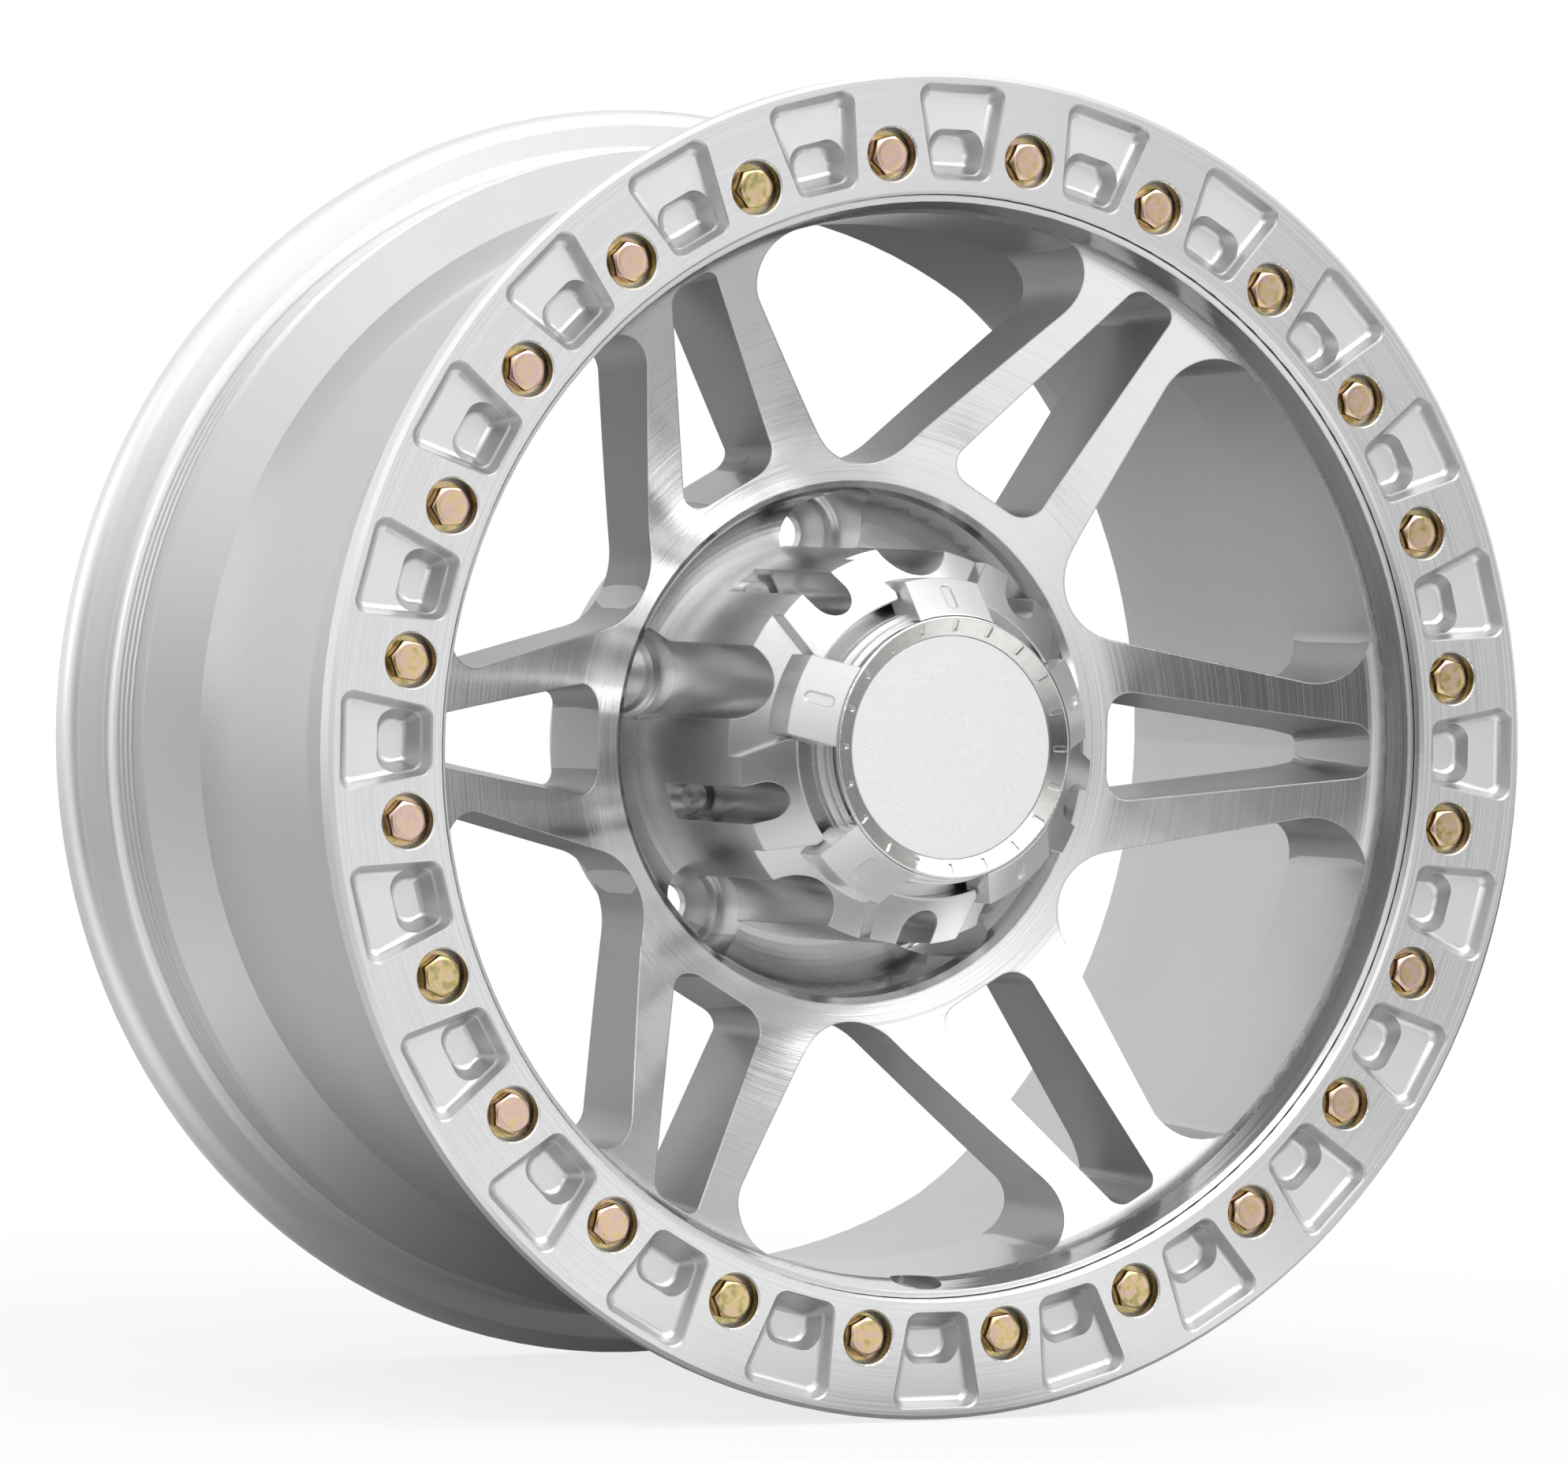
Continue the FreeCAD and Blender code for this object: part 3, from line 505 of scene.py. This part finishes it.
bowl_metal, point = finish("bowl_metal", Metallic=1.0)
radius, outward = about_axis(point)
haze = point.noise(BOWL_HAZE_SCALE)
feed(bowl_metal,
     Base_Color=haze.shades(0.62, 0.70),
     Roughness=haze.spread(0.24, 0.30),
     Normal=grooved(plain_normal(point), radius, outward, GROOVE_PITCH, GROOVE_SPREAD))

# %% [markdown]
# ### The rim's normals
#
# A mesh's normals waver on long thin triangles, and bright paint shows it. A finer mesh would
# help, but the rim's section is known, so on the outer flare and on the rear flange the normal
# comes from the section itself: a cone's lean, or the line from a rounding's centre to the
# point. The centres follow from the flange's edge and from the corner where the bead seat meets
# the flange's face.

# %% Flare normal
FLARE_START = -94.6 * MM
FLARE_CORNER = -42.7 * MM
FLARE_ROUND = 2.6 * MM
FLARE_END = -30 * MM
FLARE_LEAN = 0.26
FLARE_INNER_R = 202 * MM


def flare_normal(outward, radius, along):
    """Normal of the outer flare, and its mask.

    Its part along the axis is the cone's lean, which falls to 0 over the rounding at its end."""
    lean = along.step(FLARE_CORNER - FLARE_ROUND, FLARE_CORNER + FLARE_ROUND, FLARE_LEAN, 0.0)
    mask = along.above(FLARE_START) * along.below(FLARE_END) * radius.above(FLARE_INNER_R)
    return lathe_normal(outward, (1.0 - lean * lean) ** 0.5, lean), mask


# %% Flange normal
FLANGE_R = cad_high.x
FLANGE_BACK_Y = cad_high.y
CORNER_R, CORNER_Y = 218.3 * MM, 104.3 * MM
SEAT_INNER_R = 217.9 * MM
FACE_LIMIT_Y = 106 * MM
SEAT_LEAN = math.radians(2.53)
FACE_LEAN = math.radians(2.91)
FILLET_ROUND = 4 * MM
LIP_ROUND = 6.6 * MM
HEEL_ROUND = 4 * MM

inset = FILLET_ROUND / (1 + math.sin(SEAT_LEAN + FACE_LEAN))
fillet_r = CORNER_R + inset * (math.cos(SEAT_LEAN) + math.sin(FACE_LEAN))
fillet_y = CORNER_Y - inset * (math.sin(SEAT_LEAN) + math.cos(FACE_LEAN))
seat_end_y = fillet_y + FILLET_ROUND * math.sin(SEAT_LEAN)
face_r = fillet_r - FILLET_ROUND * math.sin(FACE_LEAN)
face_y = fillet_y + FILLET_ROUND * math.cos(FACE_LEAN)
lip_r = FLANGE_R - LIP_ROUND
lip_y = CORNER_Y + (lip_r - CORNER_R) * math.tan(FACE_LEAN) + LIP_ROUND / math.cos(FACE_LEAN)
lip_start_r = lip_r + LIP_ROUND * math.sin(FACE_LEAN)
heel_r = FLANGE_R - HEEL_ROUND
heel_y = FLANGE_BACK_Y - HEEL_ROUND


def flange_normal(outward, radius, along):
    """Normal of the rear flange, and its mask.

    Point p in the section (r, y): from p to the fillet's centre on the tyre's side, and from the
    lip's or the heel's centre to p round the edge."""
    fillet = lathe_normal(outward, fillet_r - radius.at_most(face_r), fillet_y - along.at_most(face_y))
    is_heel = along.above(heel_y)
    centre_y = along.at_least(lip_y).at_most(heel_y)
    edge = lathe_normal(outward, radius - (is_heel * (heel_r - lip_r) + lip_r), along - centre_y)
    on_edge = radius.above(is_heel * (heel_r - lip_start_r) + lip_start_r)
    on_side = on_edge.at_least(along.below(FACE_LIMIT_Y))
    mask = on_side * along.above(seat_end_y) * radius.above(SEAT_INNER_R)
    return chosen(on_edge, fillet, edge), mask


print("fillet centre", [round(v / MM, 3) for v in (fillet_r, fillet_y)],
      "lip centre", [round(v / MM, 3) for v in (lip_r, lip_y)])

# %% [markdown]
# ### Silver paint
#
# The barrel and the walls of the windows are painted: aluminium flakes under clear lacquer.
# Fine noise tilts the flakes and changes their tone, and a thin coat gives the wet edge. Where the
# tyre's inner bead sits, the lathe left a few round ridges to grip it. They are too slight to model,
# so a sine along the axis leans the normal there. The rear flange gets a much lighter copy of the
# paint, a painted highlight on its rounded face, and the walls of the windows get a darker copy,
# painted shade.

# %% Barrel paint
RIDGE_START = 84.5 * MM
RIDGE_END = 100.9 * MM
RIDGE_PITCH = 4.1 * MM
RIDGE_LEAN = 0.5
RIDGE_INNER_R = 214 * MM
FLAKE_SCALE = 5200.0
FLAKE_BUMP = 0.12
CLOUD_SCALE = 14.0

silver_paint, point = finish("silver_paint", Metallic=0.88, Coat_Weight=0.4, Coat_Roughness=0.06)
radius, outward = about_axis(point)
along = point.part("Y")
on_seat = along.above(RIDGE_START) * along.below(RIDGE_END) * radius.above(RIDGE_INNER_R)
ridges = along.math("SINE", (along - RIDGE_START) * (2 * math.pi / RIDGE_PITCH)) * on_seat
axis = point.node("ShaderNodeCombineXYZ", {"Y": 1.0})
flare, on_flare = flare_normal(outward, radius, along)
flange, on_flange = flange_normal(outward, radius, along)
section = chosen(on_flange, chosen(on_flare, plain_normal(point), flare), flange)
ridged = tilted(section, axis, ridges * RIDGE_LEAN)
flakes, bump = grained(point, ridged, FLAKE_SCALE, FLAKE_BUMP)
barrel_tone = flakes.shades((0.60, 0.60, 0.605), (0.73, 0.73, 0.735))
# The flange's tone is a painted highlight: a much lighter copy of the barrel's paint.
flange_highlight_tone = flakes.shades((0.90, 0.90, 0.905), (0.97, 0.97, 0.975))
feed(silver_paint,
     Base_Color=on_flange.mix(barrel_tone, flange_highlight_tone),
     Roughness=point.noise(CLOUD_SCALE, FINE_DETAIL).spread(0.30, 0.36),
     Normal=bump)

# %% Wall paint, with painted shade
# Painted shade: the walls of the windows get a darker copy of the silver paint.
shaded_wall_paint, point = finish("shaded_wall_paint", Metallic=0.72, Coat_Weight=0.3, Coat_Roughness=0.12)
flakes, bump = grained(point, rounded_normal(point, EDGE_ROUND), FLAKE_SCALE, FLAKE_BUMP)
feed(shaded_wall_paint,
     Base_Color=flakes.shades((0.38, 0.38, 0.385), (0.48, 0.48, 0.485)),
     Roughness=point.noise(CLOUD_SCALE, FINE_DETAIL).spread(0.34, 0.42),
     Normal=bump)

# %% [markdown]
# ### The clamping ring
#
# The ring's front is turned like the spokes but finer and duller, so its fans are soft. Its pockets
# are milled and blasted, with matt, pale floors. Their steep walls get a darker colour: painted shade.
# Two finishes would show a line at the roundings between floors and walls, so the surface's own
# direction mixes the two colours. The wells of the bolts are drilled metal, coloured dark and warm:
# painted shade, with the gold of the bolts as a painted reflection.

# %% Ring finishes
RING_SPREAD = 0.12
RING_GRAIN_SCALE = 3600.0
RING_GRAIN_BUMP = 0.06
RING_CLOUD_SCALE = 40.0
BLAST_GRAIN_SCALE = 4200.0
BLAST_GRAIN_BUMP = 0.10
WALL_TO_FLOOR = (0.62, 0.97)
POCKET_WALL_SHADE = 0.56
DRILL_SCALE = 900.0
FORWARDS = (0.0, -1.0, 0.0)

ring_front, point = finish("ring_front", Metallic=1.0)
radius, outward = about_axis(point)
fine_normal = grooved(plain_normal(point), radius, outward, GROOVE_PITCH, RING_SPREAD)
grain, bump = grained(point, fine_normal, RING_GRAIN_SCALE, RING_GRAIN_BUMP)
feed(ring_front,
     Base_Color=grain.shades(0.93, 0.98),
     Roughness=point.noise(RING_CLOUD_SCALE).spread(0.22, 0.26),
     Normal=bump)

ring_pocket, point = finish("ring_pocket", Metallic=0.9)
surface = plain_normal(point)
is_floor = surface.dot(FORWARDS).step(*WALL_TO_FLOOR)
grain, bump = grained(point, surface, BLAST_GRAIN_SCALE, BLAST_GRAIN_BUMP)
# The walls' darker colour is painted shade; the floors keep the pale tone of the blasted metal.
feed(ring_pocket,
     Base_Color=is_floor.mix(POCKET_WALL_SHADE, grain.shades(0.92, 0.98)),
     Roughness=point.noise(RING_CLOUD_SCALE).spread(0.38, 0.44),
     Normal=bump)

shaded_ring_bore, point = finish("shaded_ring_bore", Metallic=1.0)
scuffs_and_shade = point.noise(DRILL_SCALE, FINE_DETAIL)
# The dark, warm colours are painted shade in the wells, with the bolts' gold as a painted reflection.
feed(shaded_ring_bore,
     Base_Color=scuffs_and_shade.shades((0.36, 0.34, 0.30), (0.48, 0.46, 0.42)),
     Roughness=scuffs_and_shade.spread(0.20, 0.30))

# %% [markdown]
# ### Yellow zinc
#
# The bolts and washers are zinc plated and passivated yellow. The film is so thin that its
# colour drifts from gold to rose and olive within one head, and no two heads agree. A material
# for each bolt would be wasteful, so each bolt's own tint, kept with its mesh, moves it along
# the same ramp.

# %% Yellow zinc
PATCH_SCALE = 330.0
PATCH_RANGE = (0.25, 0.75)
PATCH_BUMP = 0.12
OWN_SHARE = 0.42
OLIVE = (0.50, 0.44, 0.20)
GOLD = (0.84, 0.66, 0.32)
COPPER = (0.90, 0.65, 0.48)
ROSE = (0.88, 0.62, 0.56)

yellow_zinc, point = finish("yellow_zinc", Metallic=1.0)
patches = point.noise(PATCH_SCALE, FINE_DETAIL)
own_tint = point.node("ShaderNodeAttribute", output="Fac", attribute_name="tint")
tint_at = own_tint * OWN_SHARE + patches.step(*PATCH_RANGE) * (1 - OWN_SHARE)
tints = point.node("ShaderNodeValToRGB", {0: tint_at}, output="Color",
                   stops=[(0.12, OLIVE), (0.34, GOLD), (0.52, COPPER), (0.82, ROSE)])
feed(yellow_zinc,
     Base_Color=tints,
     Roughness=patches.spread(0.20, 0.32),
     Normal=bumped(patches, PATCH_BUMP))

# %% [markdown]
# ### Cap, lid, trim and disc
#
# The cap and the lid are satin: fine grain in the normal, and soft clouds in the roughness. The
# trim ring is polished and slightly warm, and the disc is blasted so fine that it is nearly
# white and sparkles. Their edges are sharp in the mesh, and a bevel finds no shared edges on
# the loose triangles of a CAD mesh, so the shader rounds the edges instead.

# %% Cap finishes
CAP_ROUND = 0.8 * MM
TRIM_ROUND = 0.5 * MM
SATIN_GRAIN_SCALE = 4200.0
SATIN_GRAIN_BUMP = 0.08
SATIN_CLOUD_SCALE = 50.0
TRIM_HAZE_SCALE = 300.0
SPARKLE_SCALE = 2600.0
SPARKLE_BUMP = 0.35
SPARKLE_RANGE = (0.35, 0.65)


def satin(name, metallic, shades, roughness):
    """Satin metal: grain between two shades, and clouds between two values of roughness."""
    material, point = finish(name, Metallic=metallic)
    normal = rounded_normal(point, CAP_ROUND)
    grain, bump = grained(point, normal, SATIN_GRAIN_SCALE, SATIN_GRAIN_BUMP)
    feed(material,
         Base_Color=grain.shades(*shades),
         Roughness=point.noise(SATIN_CLOUD_SCALE).spread(*roughness),
         Normal=bump)
    return material


cap_satin = satin("cap_satin", metallic=1.0, shades=(0.74, 0.82), roughness=(0.22, 0.27))
lid_satin = satin("lid_satin", metallic=0.75, shades=(0.85, 0.92), roughness=(0.24, 0.30))

polished_trim, point = finish("polished_trim", Metallic=1.0)
haze = point.noise(TRIM_HAZE_SCALE, FINE_DETAIL)
feed(polished_trim,
     Base_Color=haze.shades((0.80, 0.785, 0.76), (0.85, 0.84, 0.82)),
     Roughness=haze.spread(0.08, 0.13),
     Normal=rounded_normal(point, TRIM_ROUND))

blasted_disc, point = finish("blasted_disc", Metallic=0.40)
sparkle, bump = grained(point, rounded_normal(point, CAP_ROUND), SPARKLE_SCALE, SPARKLE_BUMP)
feed(blasted_disc,
     Base_Color=sparkle.step(*SPARKLE_RANGE).mix(0.84, 0.95),
     Roughness=sparkle.spread(0.30, 0.42),
     Normal=bump)

# %% [markdown]
# ### Steel and rubber
#
# The cap's screws are bare steel, rubbed by the key that turns them, and the lid's seal is black
# rubber with a grey bloom. Both are small, so one noise each is enough for tone and roughness.

# %% Steel and rubber
RUB_SCALE = 2600.0
BLOOM_SCALE = 900.0

screw_steel, point = finish("screw_steel", Metallic=1.0)
rub = point.noise(RUB_SCALE)
feed(screw_steel,
     Base_Color=rub.shades((0.56, 0.56, 0.57), 0.64),
     Roughness=rub.spread(0.22, 0.27))

seal_rubber, point = finish("seal_rubber")
bloom = point.noise(BLOOM_SCALE, FINE_DETAIL)
feed(seal_rubber,
     Base_Color=bloom.shades(0.02, 0.05),
     Roughness=bloom.spread(0.55, 0.7))

# %% [markdown]
# ## Dressing the casting
#
# The casting carries bright metal wherever the lathe cut it and silver paint elsewhere, with a darker
# copy of the paint on the walls of the windows as painted shade. The lathe's surfaces are those of
# revolution that look forwards, so their normals have no part along the circle.
# The seats of the wheel nuts were bored, not turned, and wear the cap's satin. The faces could
# be picked by hand, but these few rules still hold when the CAD is built anew.

# %% Face helpers
def faces_of(mesh):
    """Centres and normals of a mesh's faces, as arrays of rows."""
    count = len(mesh.polygons)
    centres = np.empty(count * 3)
    normals = np.empty(count * 3)
    mesh.polygons.foreach_get("center", centres)
    mesh.polygons.foreach_get("normal", normals)
    return centres.reshape(-1, 3), normals.reshape(-1, 3)


def circle_points(radius, angles):
    """Points (x, z) of a circle round the axis: the radius times each angle's cosine and sine."""
    return radius * np.stack([np.cos(angles), np.sin(angles)], axis=1)


def nearest(centres, points):
    """Distance of each face, seen along the axis, from the nearest of some points."""
    return np.linalg.norm(centres[:, None, [0, 2]] - points, axis=2).min(axis=1)


def dress(piece, finishes, choice):
    """Give a piece its finishes, and each face the one whose number it has in choice."""
    piece.data.materials.clear()
    for material in finishes:
        piece.data.materials.append(material)
    piece.data.polygons.foreach_set("material_index", choice.astype(np.int32))


# %% Casting
TURNED_LIMIT_R = 195 * MM
ROUND_LEAN = 0.04
FORWARD_LEAN = -0.12
WALL_LEAN = 0.15
FLAT_LEAN = 0.9
BOWL_R = 88 * MM
LUG_CIRCLE_R = 75 * MM
LUG_REACH = 17 * MM
LUG_COUNT = 5
LUG_FIRST_ANGLE = math.radians(18)

casting = nodes["wheel_casting"]
centres, normals = faces_of(casting.data)
from_axis = np.hypot(centres[:, 0], centres[:, 2])
around = np.stack([-centres[:, 2], centres[:, 0]], axis=1) / from_axis[:, None]
along_circle = np.abs((normals[:, [0, 2]] * around).sum(axis=1))
is_lathe = (along_circle < ROUND_LEAN) & (normals[:, 1] < FORWARD_LEAN)
is_turned = is_lathe & (from_axis < TURNED_LIMIT_R) & (from_axis > BOWL_R)
lug_angles = LUG_FIRST_ANGLE + 2 * math.pi / LUG_COUNT * np.arange(LUG_COUNT)
to_lug = nearest(centres, circle_points(LUG_CIRCLE_R, lug_angles))
is_bored = (to_lug < LUG_REACH) & ~is_turned & (normals[:, 1] < FLAT_LEAN)
is_bowl = is_lathe & (from_axis < BOWL_R) & ~is_bored
is_wall = (along_circle > WALL_LEAN) & (from_axis < TURNED_LIMIT_R)
dress(casting, (silver_paint, turned_face, cap_satin, bowl_metal, shaded_wall_paint),
      np.select([is_turned, is_bored, is_bowl, is_wall], [1, 2, 3, 4], 0))
print("casting faces", len(centres), "turned", int(is_turned.sum()), "bored", int(is_bored.sum()))

# %% [markdown]
# ## Dressing the ring
#
# The ring's faces fall into three sets. Those within a bolt well's reach of a bolt's axis are
# drilled. What else faces forwards or sideways below the front plane, between the ring's inner
# and outer rims, is pocket. All the rest, the front, the rims and the back, was turned. Depth,
# radius and distance to the nearest bolt are enough to tell them apart.

# %% Ring
RING_FRONT_Y = -137.7 * MM
FRONT_DEPTH = 0.7 * MM
POCKET_DEPTH = 0.1 * MM
POCKET_LEAN = 0.05
BOLT_COUNT = 24
BOLT_CIRCLE_R = 207.7 * MM
WELL_REACH = 9.8 * MM
POCKET_LOW_R = 197.0 * MM
POCKET_HIGH_R = 232.0 * MM

ring = nodes["beadlock_ring"]
centres, normals = faces_of(ring.data)
from_axis = np.hypot(centres[:, 0], centres[:, 2])
depth = centres[:, 1] - RING_FRONT_Y
bolt_angles = 2 * math.pi / BOLT_COUNT * (np.arange(BOLT_COUNT) + 0.5)
bolt_centres = circle_points(BOLT_CIRCLE_R, bolt_angles)
to_bolt = nearest(centres, bolt_centres)
is_well = (to_bolt < WELL_REACH) & (depth > FRONT_DEPTH)
is_pocket = ((depth > POCKET_DEPTH) & (normals[:, 1] < POCKET_LEAN) & (to_bolt > WELL_REACH)
             & (from_axis > POCKET_LOW_R) & (from_axis < POCKET_HIGH_R))
dress(ring, (ring_front, ring_pocket, shaded_ring_bore), np.select([is_pocket, is_well], [1, 2], 0))
print("ring faces", len(centres), "pocket", int(is_pocket.sum()), "well", int(is_well.sum()))

# %% [markdown]
# ## The bolts
#
# The CAD bolts have sharp corners. A forged head is softer: its corners are slightly rounded,
# its crown is a shallow dish inside a narrow rim, and every edge has a small break. A bevel on
# the CAD mesh would round every edge alike, so the bolt is worked out instead. One grid makes
# the whole skin: the first parameter is the angle round the bolt, the second runs from the
# crown's middle, over the chamfer, down the flats, in along the seat and down the shank. Each
# bolt was tightened to an angle of its own, its clocking, and has a tint of its own.

# %% Bolt head outline
HEAD_ACROSS = 12.7 * MM
CORNER_SHARPNESS = 44


def hexagon_radius(angles):
    """Radius of a hexagon at each angle: half its width over the p-norm of the cosines to its
    six sides, where a finite p rounds the corners."""
    sides = math.pi / 6 + math.pi / 3 * np.arange(6)
    cosines = np.clip(np.cos(angles[:, None] - sides), 0, None)
    return HEAD_ACROSS / 2 / (cosines ** CORNER_SHARPNESS).sum(axis=1) ** (1 / CORNER_SHARPNESS)


head_corner = hexagon_radius(np.zeros(1))[0]
print("head", round(2 * head_corner / MM, 2), "mm over its corners")

# %% Bolt skin
HEAD_HEIGHT = 5.3 * MM
CROWN_R = 5.75 * MM
CROWN_SLOPE = math.tan(math.radians(30))
DISH_DEPTH = 0.05 * MM
DISH_EDGE = 0.76
DISH_RISE = 0.16
CROWN_SHARES = np.concatenate([[0.06, 0.3, 0.6], np.linspace(DISH_EDGE, 1.0, 7)])[:, None]
CHAMFER_SHARES = np.array([0.12, 0.5, 0.93])[:, None]
EDGE_BREAK = 0.09 * MM
SHANK_R = 4.0 * MM
SHANK_LENGTH = 30.0 * MM
POINT_LENGTH = 1.0 * MM
POINT_R = 3.0 * MM


def bolt_skin(angles):
    """Radius and depth of a bolt's skin, one row per step and one column per angle.

    Crown: radius grows to the crown's rim, and the depth eases from the dish to zero. Chamfer:
    a cone from the rim out to the hexagon. Flats: the hexagon's radius down to the seat. Then
    the seat's plane, the shank's cylinder and a short cone at its tip."""
    flat = hexagon_radius(angles)
    level = np.ones_like(flat)
    ease = np.clip((CROWN_SHARES - DISH_EDGE) / DISH_RISE, 0, 1)
    ease = ease * ease * (3 - 2 * ease)
    crown = CROWN_R * CROWN_SHARES * level
    crown_depth = DISH_DEPTH * (1 - ease) * level
    chamfer = CROWN_R + (flat - CROWN_R) * CHAMFER_SHARES
    chamfer_depth = (chamfer - CROWN_R) * CROWN_SLOPE
    edge_depth = (flat - CROWN_R) * CROWN_SLOPE
    side = np.stack([flat, flat, flat, flat - EDGE_BREAK])
    side_depth = np.stack([edge_depth + EDGE_BREAK, (edge_depth + HEAD_HEIGHT) / 2,
                           HEAD_HEIGHT * level - EDGE_BREAK, HEAD_HEIGHT * level])
    tip_depth = HEAD_HEIGHT + SHANK_LENGTH
    shank = np.array([SHANK_R + EDGE_BREAK, SHANK_R, SHANK_R, SHANK_R, POINT_R])[:, None]
    shank_depth = np.array([HEAD_HEIGHT, HEAD_HEIGHT + EDGE_BREAK, HEAD_HEIGHT + 2 * EDGE_BREAK,
                            tip_depth - POINT_LENGTH, tip_depth])[:, None]
    rows = np.concatenate([crown, chamfer, side, shank * level])
    depths = np.concatenate([crown_depth, chamfer_depth, side_depth, shank_depth * level])
    return rows, depths


# %% [markdown]
# ### Placing the bolts
#
# Copies of one bolt could stand as 24 objects, but a finished piece is one mesh at the origin.
# So the skin is turned by each bolt's clocking and carried to its place on the bolt circle as
# whole arrays: the reach is measured outwards from the wheel's axis and the swing along the
# circle. Fans of triangles close the crown and the tip.

# %% Bolts in place
HEAD_SET_BACK = 0.7 * MM
BOLT_STEPS = 72
CLOCKINGS = np.radians([37, 30, 5, 4, 23, 41, 40, 18, 37, 4, 26, 58,
                        37, 13, 55, 25, 44, 4, 32, 57, 23, 6, 42, 14])

angles = np.linspace(0, 2 * math.pi, BOLT_STEPS, endpoint=False)
rows, depths = bolt_skin(angles)
spin = (angles + CLOCKINGS[:, None])[:, None, :]
reach = BOLT_CIRCLE_R + rows * np.cos(spin)
swing = rows * np.sin(spin)
cos_place = np.cos(bolt_angles)[:, None, None]
sin_place = np.sin(bolt_angles)[:, None, None]
front = RING_FRONT_Y + HEAD_SET_BACK
skin = np.stack([reach * cos_place - swing * sin_place,
                 np.broadcast_to(front + depths, reach.shape),
                 reach * sin_place + swing * cos_place], axis=-1)
middle = np.stack([bolt_centres[:, 0], np.full(BOLT_COUNT, front + depths[0, 0]),
                   bolt_centres[:, 1]], axis=1)
tip = middle + np.array([0.0, depths[-1, 0] - depths[0, 0], 0.0])
points = np.concatenate([skin.reshape(-1, 3), middle, tip])
print("bolt skin", skin.shape, "points", len(points))

# %% Bolt faces
index = np.arange(skin[..., 0].size).reshape(skin.shape[:3])
following = np.roll(index, -1, axis=2)
quads = np.stack([index[:, :-1], index[:, 1:], following[:, 1:], following[:, :-1]], axis=-1)
crown_middle = (index.size + np.arange(BOLT_COUNT))[:, None] + np.zeros_like(index[:, 0])
tip_middle = crown_middle + BOLT_COUNT
crown_fan = np.stack([crown_middle, index[:, 0], following[:, 0]], axis=-1)
tip_fan = np.stack([tip_middle, following[:, -1], index[:, -1]], axis=-1)
faces = (quads.reshape(-1, 4).tolist() + crown_fan.reshape(-1, 3).tolist()
         + tip_fan.reshape(-1, 3).tolist())
print("bolt faces", len(faces))

# %% Bolt mesh
TINT_SEED = 24

bolt_mesh = bpy.data.meshes.new("plated_bolts")
bolt_mesh.from_pydata(points.tolist(), [], faces)
bolt_mesh.polygons.foreach_set("use_smooth", np.ones(len(faces), dtype=bool))
draw = np.random.default_rng(TINT_SEED).random(BOLT_COUNT)
tint = np.concatenate([np.repeat(draw, index[0].size), draw, draw])
bolt_mesh.attributes.new("tint", "FLOAT", "POINT").data.foreach_set("value", tint)
bolt_mesh.update()
plated_bolts = bpy.data.objects.new("plated_bolts", bolt_mesh)
bpy.context.scene.collection.objects.link(plated_bolts)
bolt_mesh.materials.append(yellow_zinc)
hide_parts("ring_bolts")
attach(plated_bolts, "root")
_, bolt_normals = faces_of(bolt_mesh)
last_crown_face = -BOLT_STEPS * BOLT_COUNT - 1
print("a bolt's crown looks along", bolt_normals[last_crown_face].round(2))

# %% [markdown]
# ## The other pieces
#
# What is left wears one finish each: the washers are plated like the bolts, and the cap's pieces
# have the finishes made for them. Their CAD meshes are fine enough as they are.

# %% The other pieces
FINISHES = {
    "ring_washers": yellow_zinc, "cap_body": cap_satin, "cap_screws": screw_steel,
    "cap_lid": lid_satin, "lid_seal": seal_rubber, "trim_ring": polished_trim,
    "centre_disc": blasted_disc,
}
for name, material in FINISHES.items():
    nodes[name].data.materials.clear()
    nodes[name].data.materials.append(material)
print("single finishes on", sorted(FINISHES))
